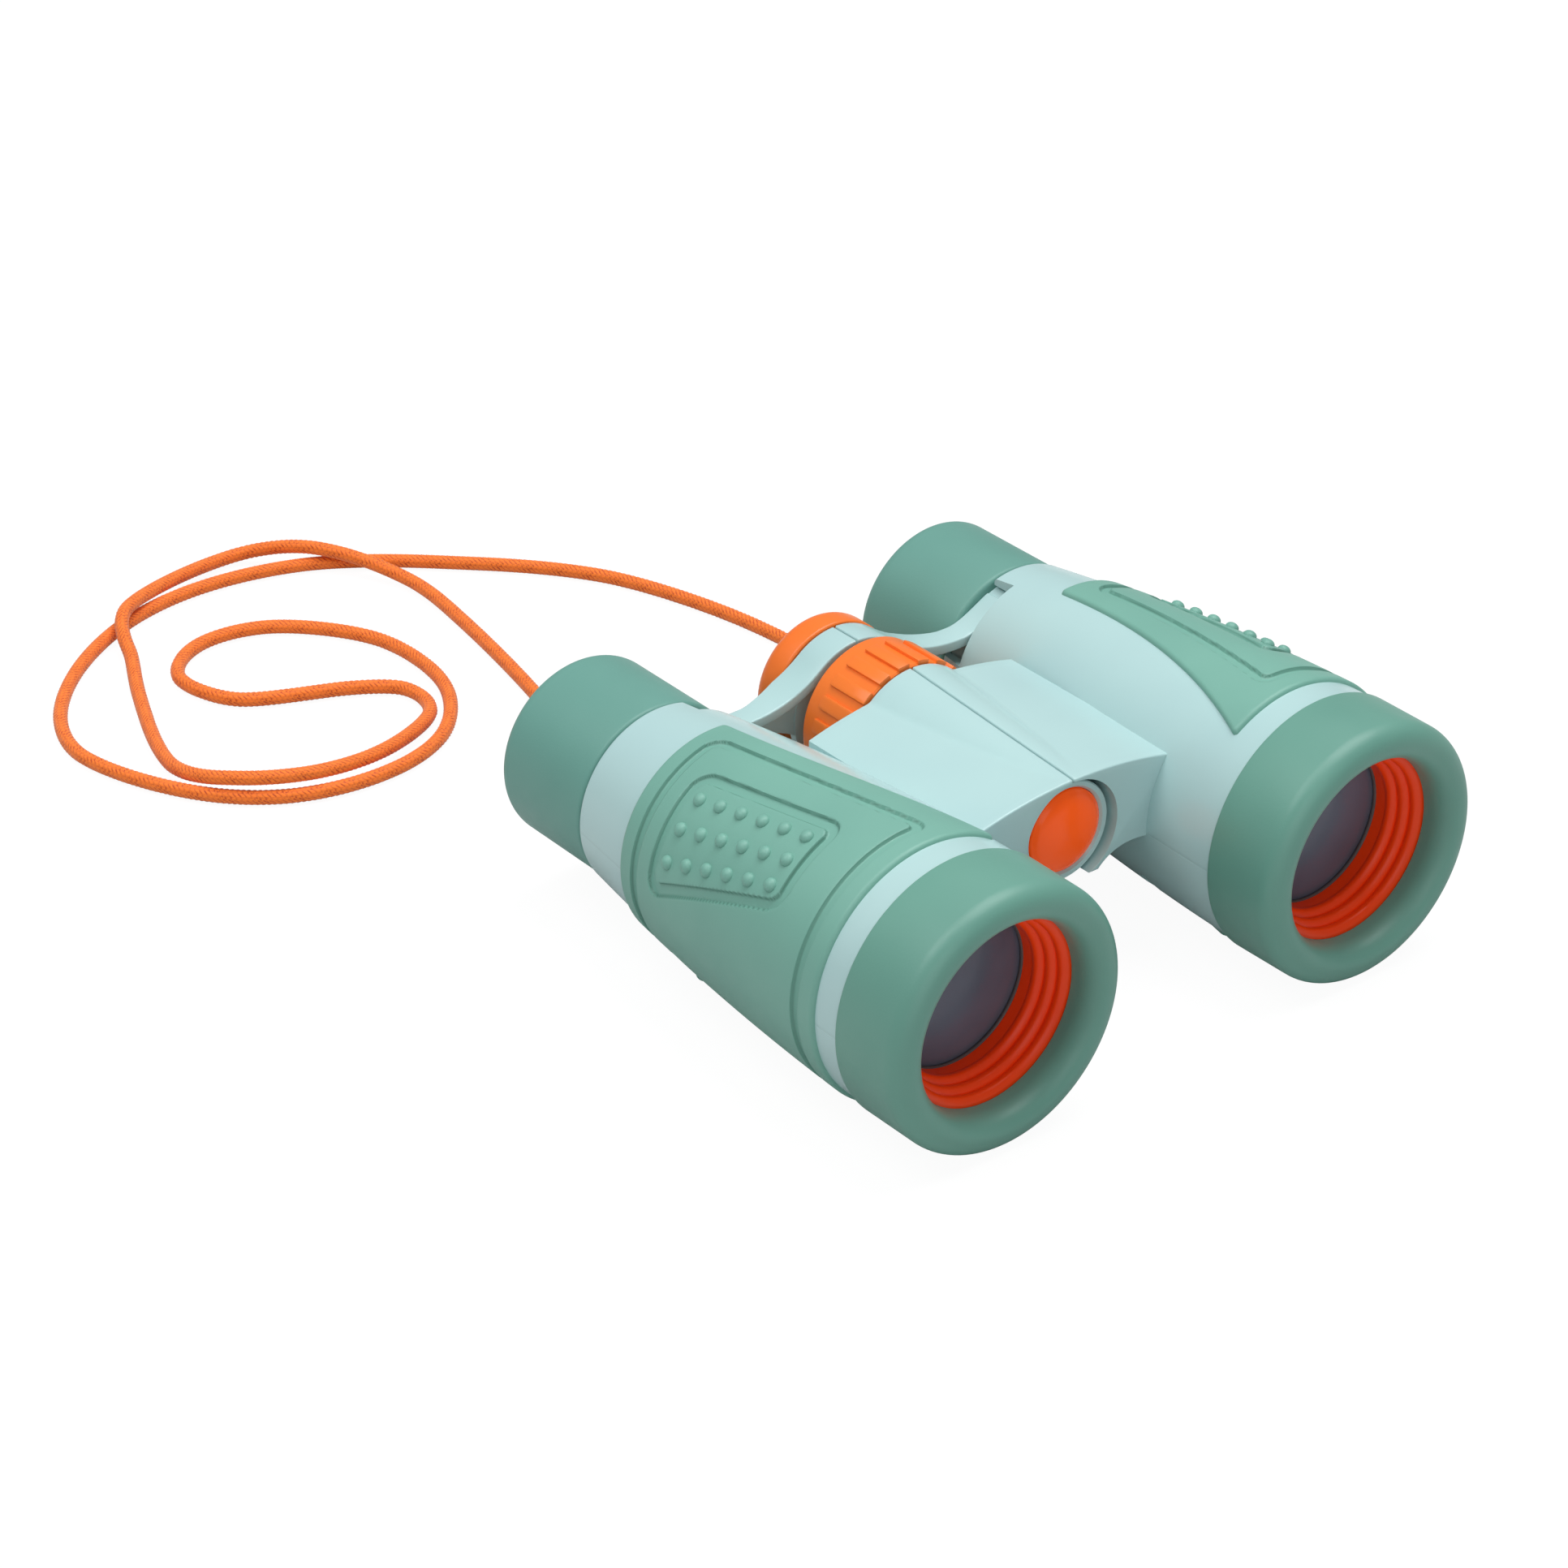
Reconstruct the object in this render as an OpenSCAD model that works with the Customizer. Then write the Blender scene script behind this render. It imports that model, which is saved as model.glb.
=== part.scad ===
// Toy binoculars with folding barrels, centre focusing and a braided neck cord.
// The user looks along +Y, +X is the user's right and +Z is up.
// The origin lies on the table, under the middle of the two barrels.

/* [Overall] */
// Distance between the barrel axes with the barrels spread flat
eye_spacing = 74.3; // [70:0.1:82]
// Height of the hinge axis above the barrel axes
hinge_rise = 4.9; // [3.5:0.1:6]
// Gap between pieces that are pushed together and stay put
fit_gap = 0.1; // [0.05:0.05:0.2]
// Gap between pieces that move past each other
move_gap = 0.3; // [0.3:0.05:0.5]
// Radial clearance of a pin or journal in its bearing
run_gap = 0.05; // [0.03:0.01:0.1]

/* [Objective ring] */
// Greatest radius of the soft ring round the objective
ring_r = 22.3; // [18.5:0.1:26]
// Length of the ring from its front crest to its rear edge
ring_len = 14.3; // [13.5:0.1:18]
// Distance of the ring's front crest inside its greatest radius
ring_crest_in = 3.3; // [2.5:0.1:4]
// Length of the rounded rear edge of the ring
ring_rear_round = 4; // [1:0.5:5]
// Width of the rolled lip from the crest in to the round opening
ring_lip = 3; // [2.4:0.1:4]
// Depth of the opening's edge behind the crest
opening_depth = 3.8; // [2.5:0.1:5]
// Length of the straight land inside the opening
opening_land = 1.6; // [1:0.1:2]

/* [Lens stack] */
// Width by which the ribbed lens ring reaches under the opening's edge
lens_ring_hold = 1.2; // [1:0.1:1.6]
// Length of the lens ring
lens_ring_len = 7.6; // [6:0.1:9]
// Narrowing of the lens ring's funnel from the opening to the lens
funnel_in = 2.8; // [2:0.1:4]
// Number of ridges on the funnel of the lens ring
lens_ridges = 3; // [2:1:5]
// Height of each ridge
ridge_h = 0.55; // [0.3:0.05:0.8]
// Thickness of the gasket in front of the lens
gasket_t = 0.8; // [0.5:0.1:1.2]
// Width of the objective lens's flat rim round its clear face
lens_rim = 2.8; // [2:0.1:3.2]
// Thickness of the objective lens at its edge
lens_edge = 2.2; // [1.5:0.1:3]
// Bulge of each face of the objective lens
lens_bulge = 1.6; // [0.8:0.1:2.2]

/* [Barrel shell] */
// Length of the barrel shell from the ring to its rear end
shell_len = 70.9; // [68:0.1:85]
// Height of the ring above the shell behind it
ring_proud = 0.4; // [0.3:0.05:0.8]
// Thickness of the shell's rear end round the eyepiece tube, with the collar's room
shell_rear_over = 3; // [2.9:0.1:4.5]
// Outward bulge of the shell's long profile
shell_bulge = 1.15; // [0.6:0.05:1.6]
// Wall thickness of the shell
shell_wall = 2.2; // [1.8:0.1:2.8]
// Depth of the seam between the shell halves under the barrel axis
seam_drop = 3; // [2:0.1:4]
// Step from the shell's surface down to the spigot for the ring
spigot_step = 2.2; // [1.8:0.1:2.6]
// Length of the spigot
spigot_len = 5.5; // [4:0.1:6.5]
// Radius of the rounded rear edge of the shell
shell_edge = 0.6; // [0.3:0.1:0.9]

/* [Grip] */
// Thickness of the grip's sunk part
grip_depth = 1; // [0.6:0.1:1.2]
// Height of the grip above the shell
grip_proud = 0.4; // [0.2:0.05:0.8]
// Distance from the ring to the grip's front edge
grip_front_gap = 5; // [3:0.1:7]
// Length of the grip
grip_len = 52.2; // [48:0.1:54]
// Reach of the grip's front tip inboard of the barrel axis
grip_tip_in = 12.8; // [10:0.1:14]
// Reach of the grip's rear corner inboard of the barrel axis
grip_rear_in = 2.6; // [1:0.1:5]
// Radius of the curved inner edge of the grip
grip_edge_r = 146; // [110:1:200]
// Width of the grooves
groove_w = 1.7; // [1:0.1:2.4]
// Depth of the grooves
groove_depth = 0.5; // [0.3:0.05:0.7]
// Distance of the border groove from the grip's ends
groove_inset = 3.6; // [3:0.1:5]
// Radius of a grip dot
dot_r = 1.1; // [0.8:0.1:1.3]
// Dots in a row
dot_columns = 6; // [3:1:6]
// Rows of dots
dot_rows = 3; // [2:1:3]
// Distance between dots along a row
dot_pitch = 4.6; // [4:0.1:4.8]
// Distance between rows
dot_row_pitch = 4.9; // [4:0.1:5]

/* [Bridge and hinge] */
// Distance from the ring to the bridge's front face
bridge_setback = 14.7; // [13:0.1:17]
// Length of the bridge
bridge_len = 38.8; // [37:0.1:42]
// Radius of the bridge's dome about the hinge axis at its front
dome_front_r = 9.9; // [9.8:0.1:11]
// Radius of the bridge's dome about the hinge axis at its rear
dome_rear_r = 12.8; // [12:0.1:13.2]
// Radius of the crowned top of the bridge
crown_r = 78; // [60:1:120]
// Gap between the bridge halves along the ridge
ridge_gap = 0.3; // [0.2:0.05:0.5]
// Radius of the hinge knuckles
knuckle_r = 8.6; // [8.4:0.1:8.8]
// Gap round each knuckle
knuckle_gap = 0.8; // [0.5:0.1:0.9]
// Depth of the front knuckle's face behind the bridge's front face
knuckle_setback = 1.2; // [0.6:0.1:2]
// Length of the front knuckle
front_knuckle_len = 10.6; // [9:0.1:12]
// Length of the middle knuckle
mid_knuckle_len = 15.4; // [13:0.1:17]
// Radius of the hinge pin
pin_r = 2.5; // [2:0.1:3]
// Radius of the front cap's rim
cap_r = 7.1; // [6.5:0.1:7.3]
// Depth of the front cap's seat
cap_seat = 3; // [2:0.1:4]
// Height of the front cap's dome
cap_dome = 1.8; // [1:0.1:2.5]

/* [Focus drive] */
// Radius of the focus wheel's plain rear rim
wheel_r = 12.8; // [12.2:0.1:13.2]
// Length of the focus wheel
wheel_len = 11.4; // [10:0.1:11.8]
// Number of ribs on the wheel
wheel_ribs = 20; // [12:1:28]
// Height of the ribs above the rim
rib_h = 0.5; // [0.3:0.05:0.8]
// Length of the plain rear rim
rim_len = 3; // [2:0.1:4]
// Radius of the wheel's journal in the bridge
journal_r = 5; // [4.6:0.1:5.4]
// Length of the journal
journal_len = 6.6; // [6:0.1:7.5]
// Radius of the focus spindle
spindle_r = 2.4; // [2:0.1:2.8]
// Thickness of the wheel's retaining clip
clip_t = 0.8; // [0.6:0.1:1]
// Width of the retaining clip's ring
clip_w = 1.3; // [1.1:0.1:1.5]
// Radius of the rear cap
rear_cap_r = 12.2; // [11.5:0.1:12.8]
// Length of the rear cap
rear_cap_len = 6.6; // [5.5:0.1:8]
// Travel of the eyepieces
focus_travel = 3; // [2:0.1:3.5]

/* [Rear arms] */
// Radius of the arms' dome about the hinge axis
arm_dome_r = 12; // [11.5:0.1:12.4]
// Length of the arms along the barrel
arm_len = 4.5; // [4:0.1:4.8]
// Length of the arms' dome along the barrel
arm_dome_len = 6.1; // [5.8:0.1:7]
// Thickness of the arms
arm_t = 1.8; // [1.4:0.1:2.2]
// Height of the arms' straight run above the hinge axis
arm_run_z = 5.7; // [5:0.1:6.2]
// Radius of the hollow curve between dome and run
arm_fillet_r = 5; // [4:0.1:6]
// Wall of the arms' collar round the eyepiece tube
collar_wall = 1.6; // [1.2:0.1:1.7]
// Radius of the hubs round the spindle
hub_r = 4.6; // [4.2:0.1:5.2]

/* [Eyepiece] */
// Outer radius of the eyepiece tube
tube_r = 13; // [12.5:0.1:13.1]
// Wall of the eyepiece tube
tube_wall = 1.2; // [1:0.1:1.5]
// Length of the shell's guide round the eyepiece tube
guide_len = 10.5; // [8:0.1:12]
// Reach of the eyecup behind the shell
cup_reach = 22; // [20:0.1:25]
// Thickness of the eyecup over the eyepiece tube
cup_over = 2.7; // [2:0.1:4]
// Depth of the hollow in the eyecup
cup_hollow = 6.5; // [5:0.1:8]
// Wall of the eyecup round its hollow
cup_wall = 3; // [2.4:0.1:3.4]
// Radius of the rounded rim of the eyecup
cup_round = 2.4; // [1.5:0.1:2.8]
// Distance of the ocular lens's edge inside the tube's outside
ocular_in = 3.5; // [3:0.1:5]
// Thickness of the ocular lens at its edge
ocular_edge = 2; // [1.5:0.1:2.5]
// Bulge of each face of the ocular lens
ocular_bulge = 0.9; // [0.5:0.1:1.2]

/* [Screws] */
// Distance of the screws inside the shell's rear radius
screw_wall_in = 1; // [0.5:0.1:2]
// Distance from the ring to the front screw
screw_front_gap = 19.5; // [17:0.5:24]
// Distance between the two screws
screw_pitch = 28; // [22:0.5:30]
// Radius of the screw shank
screw_r = 1.2; // [1:0.1:1.4]
// Radius of the screw head
screw_head_r = 2.1; // [1.8:0.1:2.3]
// Thickness of the screw head
screw_head_t = 1.6; // [1.2:0.1:2]
// Length of the screw under its head
screw_len = 9.5; // [8:0.5:11]
// Wall of the screw bosses
boss_wall = 1.2; // [1:0.1:1.4]

/* [Strap] */
// Width of a strap lug
lug_w = 7; // [5.5:0.1:8]
// Length of a strap lug
lug_len = 4.6; // [4:0.1:5.5]
// Distance of the lug's rear face from the shell's rear end
lug_setback = 2.6; // [2:0.1:3]
// Distance of the lugs inboard of the barrel axis
lug_in = 2; // [1:0.1:3]
// Radius of the hole for the cord
cord_hole_r = 1.6; // [1.5:0.05:1.8]
// Height of the cord's hole above the table
cord_hole_z = 2.3; // [2.2:0.05:2.6]
// Diameter of the neck cord
cord_d = 2.5; // [2.2:0.1:2.6]
// Radius of the stopper knots
knot_r = 2; // [1.8:0.05:2.1]

/* [Hidden] */
$fn = 96;
// Overrun of cuts past the faces that they open
cut = 1;
// Depth by which fused shapes of one piece overlap
sink = 0.2;
// Share of the arm dome's turn that its web leaves free
web_share = 0.12;

mint = "#bfe0e0";
sage = "#7fb5a5";
cup_green = "#78aba2";
orange = "#f58232";
lens_orange = "#e0541e";
lens_grey = "#5b626c";
gasket_grey = "#4a4d50";
steel = "#b9bcc0";

// Stations along the barrels, front to rear
ring_crest_r = ring_r - ring_crest_in;
opening_r = ring_crest_r - ring_lip;
lens_ring_r = opening_r + lens_ring_hold;
lens_bore_r = opening_r - funnel_in;
lens_r = lens_bore_r + lens_rim;
shell_front_r = ring_r - ring_proud;
spigot_r = shell_front_r - spigot_step;
shell_rear_r = tube_r + shell_rear_over;
cup_r = tube_r + cup_over;
ocular_r = tube_r - ocular_in;
screw_in = shell_rear_r - screw_wall_in;
total_len = ring_len + shell_len + cup_reach;
front_y = total_len / 2;
axis_z = ring_r;
hinge_x = eye_spacing / 2;
opening_y = front_y - opening_depth;
ring_rear_y = front_y - ring_len;
shell_rear_y = ring_rear_y - shell_len;
spigot_y = ring_rear_y + spigot_len;
lens_ring_y = opening_y - opening_land;
gasket_y = lens_ring_y - lens_ring_len;
lens_y = gasket_y - gasket_t;
flange_y = lens_y - lens_edge;
cup_front_y = shell_rear_y - move_gap;
cup_rear_y = -front_y;
arm_front_y = cup_front_y + arm_len;
arm_dome_rear_y = arm_front_y - arm_dome_len;
guide_rear_y = arm_front_y + 2 * move_gap;
guide_front_y = guide_rear_y + guide_len;
guide_lead = 2;
tube_front_y = guide_front_y + focus_travel;
bridge_front_y = ring_rear_y - bridge_setback;
bridge_rear_y = bridge_front_y - bridge_len;
grip_front_y = ring_rear_y - grip_front_gap;
grip_rear_y = grip_front_y - grip_len;

// Knuckles of the hinge: the right barrel has the outer two and the left one the middle
front_knuckle_y = bridge_front_y - knuckle_setback;
mid_knuckle_y = front_knuckle_y - front_knuckle_len - move_gap;
rear_knuckle_y = mid_knuckle_y - mid_knuckle_len - move_gap;
room_front_y = front_knuckle_y - front_knuckle_len;
room_rear_y = rear_knuckle_y + move_gap;
pin_front_y = front_knuckle_y - cap_seat;
journal_y = bridge_rear_y - move_gap + journal_len;
pin_tail = 4;
pin_rear_y = room_rear_y - pin_tail;
pin_nose = 0.4;

// Focus drive
wheel_front_y = bridge_rear_y - move_gap;
wheel_rear_y = wheel_front_y - wheel_len;
clip_setback = 1.6;
clip_y = journal_y - clip_setback;
clip_in_r = journal_r - clip_w / 2;
clip_out_r = clip_in_r + clip_w;
hub_share = 0.46;
right_hub_len = arm_dome_len * hub_share;
left_hub_y = arm_front_y - right_hub_len - move_gap;
rear_cap_y = arm_dome_rear_y - move_gap;
spindle_seat_share = 0.5;
spindle_rear_y = rear_cap_y - rear_cap_len * spindle_seat_share;
spindle_nose = 5;
spindle_front_y = wheel_front_y + spindle_nose;

// Lens seats
lens_seat_r = lens_r + fit_gap;
stack_r = lens_ring_r + fit_gap;
flange_in = 1.5;
flange_r = lens_seat_r - flange_in;
flange_t = 2;

// Screws
screw_front_y = ring_rear_y - screw_front_gap;
boss_r = screw_head_r + fit_gap + boss_wall;
head_depth = 5;
head_z = -seam_drop - head_depth;

// Strap lugs
lug_rear_y = shell_rear_y + lug_setback;
lug_front_y = lug_rear_y + lug_len;
lug_x = hinge_x - lug_in;

function along(a, b, t) = a + (b - a) * t;

// Outer radius of the shell at a station, on an arc from the ring to the rear end
function shell_r(y) =
    let (t = (ring_rear_y - y) / shell_len)
    along(shell_front_r, shell_rear_r, t) + 4 * shell_bulge * t * (1 - t);

// Points of the shell's long profile, pushed outward by d, between two stations
profile_steps = 14;
function shell_line(y0, y1, d) =
    [for (i = [0 : profile_steps]) let (y = along(y0, y1, i / profile_steps)) [shell_r(y) + d, y]];

// Points of a quarter ellipse about c with half axes a and b, from one angle to the next
round_steps = 8;
function round_line(c, a, b, from, to) =
    [for (i = [0 : round_steps]) let (w = along(from, to, i / round_steps)) c + [a * cos(w), b * sin(w)]];

// Centre of the circle of radius r through p and q that lies on the left of the way from p to q
function circle_through(p, q, r) =
    let (m = (p + q) / 2, d = (q - p) / norm(q - p), h = sqrt(r * r - pow(norm(q - p) / 2, 2)))
    m + h * [-d[1], d[0]];

// Outline with its corners rounded by arcs of radius r
corner_steps = 4;
function rounded(pts, r) = [
    for (i = [0 : len(pts) - 1])
        let (
            n = len(pts),
            p = pts[i],
            a = pts[(i + n - 1) % n] - p,
            b = pts[(i + 1) % n] - p,
            u = a / norm(a),
            v = b / norm(b),
            half = acos(u * v) / 2,
            c = p + (u + v) / norm(u + v) * r / sin(half),
            s = p + u * r / tan(half) - c,
            e = p + v * r / tan(half) - c,
            sa = atan2(s[1], s[0]),
            turn = atan2(s[0] * e[1] - s[1] * e[0], s * e)
        )
        for (k = [0 : corner_steps])
            let (w = sa + turn * k / corner_steps) c + r * [cos(w), sin(w)]
];

// Revolves a profile of (radius, station) about the barrel's axis
module turned(pts) {
    rotate([-90, 0, 0]) rotate_extrude() polygon(pts);
}

// Cylinder along the barrel between two stations
module rod(r, y0, y1) {
    translate([0, min(y0, y1), 0]) rotate([-90, 0, 0]) cylinder(r = r, h = abs(y1 - y0));
}

// Block between two opposite corners
module block(a, b) {
    translate([min(a[0], b[0]), min(a[1], b[1]), min(a[2], b[2])])
        cube([abs(b[0] - a[0]), abs(b[1] - a[1]), abs(b[2] - a[2])]);
}

// Pieces of a barrel are drawn about their own axis, with +X pointing away from the hinge
module on_right() {
    translate([hinge_x, 0, axis_z]) children();
}

module on_left() {
    mirror([1, 0, 0]) on_right() children();
}

// From a barrel's frame to the hinge axis
module at_hinge() {
    translate([-hinge_x, 0, hinge_rise]) children();
}

// Barrel as a solid of revolution, with the spigot for the ring
module barrel_solid() {
    turned(concat(
        [[0, spigot_y], [spigot_r, spigot_y], [spigot_r, ring_rear_y]],
        shell_line(ring_rear_y, shell_rear_y + shell_edge, 0),
        [[shell_r(shell_rear_y) - shell_edge, shell_rear_y], [0, shell_rear_y]]
    ));
}

// Everything inside the barrel: lens stack, light path, tube guide and room for the collar
module barrel_hollow() {
    guide_r = tube_r + move_gap;
    room_r = tube_r + collar_wall + move_gap;
    turned(concat(
        [
            [0, spigot_y + cut], [stack_r, spigot_y + cut], [stack_r, lens_y],
            [lens_seat_r, lens_y], [lens_seat_r, flange_y],
            [flange_r, flange_y], [flange_r, flange_y - flange_t]
        ],
        shell_line(flange_y - flange_t, guide_front_y + guide_lead, -shell_wall),
        [
            [guide_r, guide_front_y], [guide_r, guide_rear_y],
            [room_r, guide_rear_y], [room_r, shell_rear_y - cut], [0, shell_rear_y - cut]
        ]
    ));
}

// Space inboard of an arc that runs from the rear to the front of the grip, seen from above
module inboard_of(x_rear, y_rear, x_front, y_front, r) {
    c = circle_through([x_rear, y_rear], [x_front, y_front], r);
    translate([c[0], c[1], -ring_r - cut]) cylinder(r = r, h = 2 * (ring_r + cut), $fn = 360);
}

// The grip's band with the wall grown by d on all sides
module grip_band(d) {
    inner = -grip_depth - d;
    outer = grip_proud;
    difference() {
        turned(concat(
            shell_line(grip_front_y + d, grip_rear_y - d, outer),
            shell_line(grip_rear_y - d, grip_front_y + d, inner)
        ));
        inboard_of(-grip_rear_in - d, grip_rear_y, -grip_tip_in - d, grip_front_y, grip_edge_r);
    }
}

// Half of the barrel above the seam with its half of the bridge
module upper_shell_form(own, other) {
    difference() {
        union() {
            difference() {
                union() {
                    intersection() {
                        barrel_solid();
                        block(
                            [-shell_front_r - cut, spigot_y + cut, -seam_drop],
                            [shell_front_r + cut, shell_rear_y - cut, shell_front_r + cut]
                        );
                    }
                    bridge_block();
                    at_hinge() for (k = own) rod(knuckle_r, k[0], k[1]);
                }
                barrel_hollow();
                grip_band(fit_gap);
                arm_slot();
                at_hinge() for (k = other) rod(knuckle_r + knuckle_gap, k[0], k[1]);
            }
            screw_posts();
        }
        pilot_holes();
    }
}

// Half of the bridge: a crowned slab with a cone over the hinge that widens to the rear
module bridge_block() {
    inner_x = -hinge_x + ridge_gap / 2;
    outer_x = -shell_r(bridge_rear_y) + shell_wall;
    intersection() {
        union() {
            translate([0, 0, dome_front_r - crown_r]) at_hinge()
                rod(crown_r, bridge_front_y, bridge_rear_y, $fn = 360);
            at_hinge() translate([0, bridge_rear_y, 0]) rotate([-90, 0, 0])
                cylinder(r1 = dome_rear_r, r2 = dome_front_r, h = bridge_len);
        }
        block(
            [inner_x, bridge_front_y, -seam_drop],
            [outer_x, bridge_rear_y, hinge_rise + dome_rear_r + cut]
        );
    }
}

// Opening in the rear inner side of the barrel for the arm
slot_top_in = 4.4;
module arm_slot() {
    block(
        [-shell_front_r - cut, guide_rear_y, hinge_rise],
        [-slot_top_in, shell_rear_y - cut, shell_front_r]
    );
}

// Posts for the screws, hanging from the upper wall
module screw_posts() {
    for (y = [screw_front_y, screw_front_y - screw_pitch])
        intersection() {
            translate([-screw_in, y, -seam_drop]) cylinder(r = boss_r - fit_gap, h = shell_front_r);
            turned(concat(
                [[0, flange_y]],
                shell_line(flange_y, guide_front_y, sink - shell_wall),
                [[0, guide_front_y]]
            ));
        }
}

// Holes in the posts for the screws' threads
module pilot_holes() {
    for (y = [screw_front_y, screw_front_y - screw_pitch])
        translate([-screw_in, y, -seam_drop - cut])
            cylinder(r = screw_r, h = cut + screw_len - head_depth + 2 * fit_gap);
}

// Half of the barrel below the seam with screw bosses and the strap lug
module lower_shell_form() {
    difference() {
        union() {
            difference() {
                union() {
                    intersection() {
                        barrel_solid();
                        block(
                            [-shell_front_r - cut, spigot_y + cut, -seam_drop],
                            [shell_front_r + cut, shell_rear_y - cut, -shell_front_r - cut]
                        );
                    }
                    strap_lug();
                }
                barrel_hollow();
            }
            screw_bosses();
        }
        grip_band(fit_gap);
        for (y = [screw_front_y, screw_front_y - screw_pitch]) translate([-screw_in, y, 0]) {
            translate([0, 0, head_z - screw_head_t - ring_r])
                cylinder(r = screw_head_r + fit_gap, h = screw_head_t + ring_r);
            translate([0, 0, head_z - cut]) cylinder(r = screw_r + fit_gap, h = cut + ring_r);
        }
    }
}

module screw_bosses() {
    for (y = [screw_front_y, screw_front_y - screw_pitch])
        intersection() {
            translate([-screw_in, y, -ring_r]) cylinder(r = boss_r, h = ring_r - seam_drop);
            turned(concat(
                [[0, flange_y]],
                shell_line(flange_y, guide_front_y, sink - shell_wall),
                [[0, guide_front_y]]
            ));
        }
}

// Lug under the rear of the barrel: it stands on the table and holds the cord
module strap_lug() {
    difference() {
        block(
            [-lug_in - lug_w / 2, lug_front_y, -axis_z],
            [-lug_in + lug_w / 2, lug_rear_y, -tube_r]
        );
        translate([-lug_in, 0, cord_hole_z - axis_z]) rod(cord_hole_r, lug_rear_y - cut, lug_front_y + cut);
    }
}

// Soft grip with a border groove, a panel framed by a groove, and rows of dots
groove_rear_out = 1.5;
groove_front_in = 3.3;
groove_edge_r = 300;
module grip_form() {
    difference() {
        grip_band(0);
        intersection() {
            turned(concat(
                shell_line(grip_front_y + cut, grip_rear_y - cut, grip_proud + cut),
                shell_line(grip_rear_y - cut, grip_front_y + cut, grip_proud - groove_depth)
            ));
            union() {
                difference() {
                    groove_field(0);
                    groove_field(groove_w);
                }
                for (flip = [0, 1]) mirror([0, 0, flip]) panel_groove();
            }
        }
    }
    for (flip = [0, 1]) mirror([0, 0, flip]) grip_dots();
}

// Field inside the border groove, shrunk by d
module groove_field(d) {
    rear_y = grip_rear_y + groove_inset + d;
    front_y = grip_front_y - groove_inset - d;
    difference() {
        block([-ring_r, front_y, -ring_r - cut], [ring_r + cut, rear_y, ring_r + cut]);
        inboard_of(groove_rear_out + d, rear_y, -groove_front_in + d, front_y, groove_edge_r);
    }
}

// The dot panel lies square to a spoke of the barrel, turned out from the top
panel_angle = 46;
// Slope of the rows of dots towards the top as they run forward
row_slope_share = 0.215;
// Distance of the middle dot behind the grip's front edge
panel_setback = 28;
// Edge of the panel's frame past the outer dots
panel_margin = 4.1;
panel_corner_r = 2.4;
panel_y = grip_front_y - panel_setback;
panel_half_l = dot_pitch * (dot_columns - 1) / 2;
panel_half_w = dot_row_pitch * (dot_rows - 1) / 2;
// Rear dots of the panel fan out a little, as the barrel narrows towards the eye
fan_share = 0.09;

function panel_point(u, v) = [v * (1 - fan_share * sign(u)) - row_slope_share * u, panel_y + u];

function panel_outline(margin) =
    let (l = panel_half_l + margin, w = panel_half_w + margin)
    rounded([panel_point(-l, -w), panel_point(l, -w), panel_point(l, w), panel_point(-l, w)], panel_corner_r);

module panel_groove() {
    rotate([0, panel_angle, 0]) linear_extrude(height = ring_r + cut) difference() {
        polygon(panel_outline(panel_margin));
        polygon(panel_outline(panel_margin - groove_w));
    }
}

// Dots stand on the grip's surface: short pins with domed heads, square to the barrel
dot_h = 0.85;
dot_root = 0.9;
module grip_dots() {
    for (i = [0 : dot_columns - 1], j = [0 : dot_rows - 1]) {
        p = panel_point((i - (dot_columns - 1) / 2) * dot_pitch, (j - (dot_rows - 1) / 2) * dot_row_pitch);
        r = shell_r(p[1]) + grip_proud;
        rotate([0, panel_angle + asin(p[0] / r), 0]) translate([0, p[1], r]) grip_dot();
    }
}

module grip_dot() {
    head_step = 30;
    rotate_extrude($fn = 32) polygon(concat(
        [[0, -dot_root], [dot_r, -dot_root]],
        [for (w = [0 : head_step : 90]) [dot_r * cos(w), dot_h * sin(w)]]
    ));
}

// Ring with a thick rolled lip; it slides over the spigot and closes the shell
ring_step = 0.2;
module objective_ring_form() {
    roll = ring_r - ring_crest_r;
    lip = ring_crest_r - opening_r;
    rear_r = shell_front_r + ring_step;
    turned(concat(
        round_line([rear_r, ring_rear_y + ring_rear_round], ring_r - rear_r, ring_rear_round, -90, 0),
        round_line([ring_crest_r, front_y - roll], roll, roll, 0, 90),
        round_line([ring_crest_r, opening_y], lip, opening_depth, 90, 180),
        [
            [opening_r, lens_ring_y], [stack_r, lens_ring_y],
            [stack_r, spigot_y], [spigot_r + fit_gap, spigot_y], [spigot_r + fit_gap, ring_rear_y]
        ]
    ));
}

// Funnel with rounded ridges in front of the lens
funnel_edge = 0.3;
funnel_len_share = 0.72;
module lens_ring_form() {
    funnel_len = lens_ring_len * funnel_len_share;
    top_r = opening_r - funnel_edge;
    pitch_y = funnel_len / lens_ridges;
    pitch_r = (top_r - lens_bore_r) / lens_ridges;
    steps = 8;
    turned(concat(
        [
            [lens_ring_r, lens_ring_y - fit_gap], [lens_ring_r, gasket_y],
            [lens_bore_r, gasket_y]
        ],
        [
            for (i = [lens_ridges - 1 : -1 : 0], k = [steps : -1 : 0])
                if (k > 0 || i == 0)
                    [
                        top_r - pitch_r * (i + k / steps) - ridge_h * sin(180 * k / steps),
                        lens_ring_y - fit_gap - pitch_y * (i + k / steps)
                    ]
        ]
    ));
}

module lens_gasket_form() {
    turned([
        [lens_bore_r, gasket_y], [lens_ring_r, gasket_y],
        [lens_ring_r, lens_y], [lens_bore_r, lens_y]
    ]);
}

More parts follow.
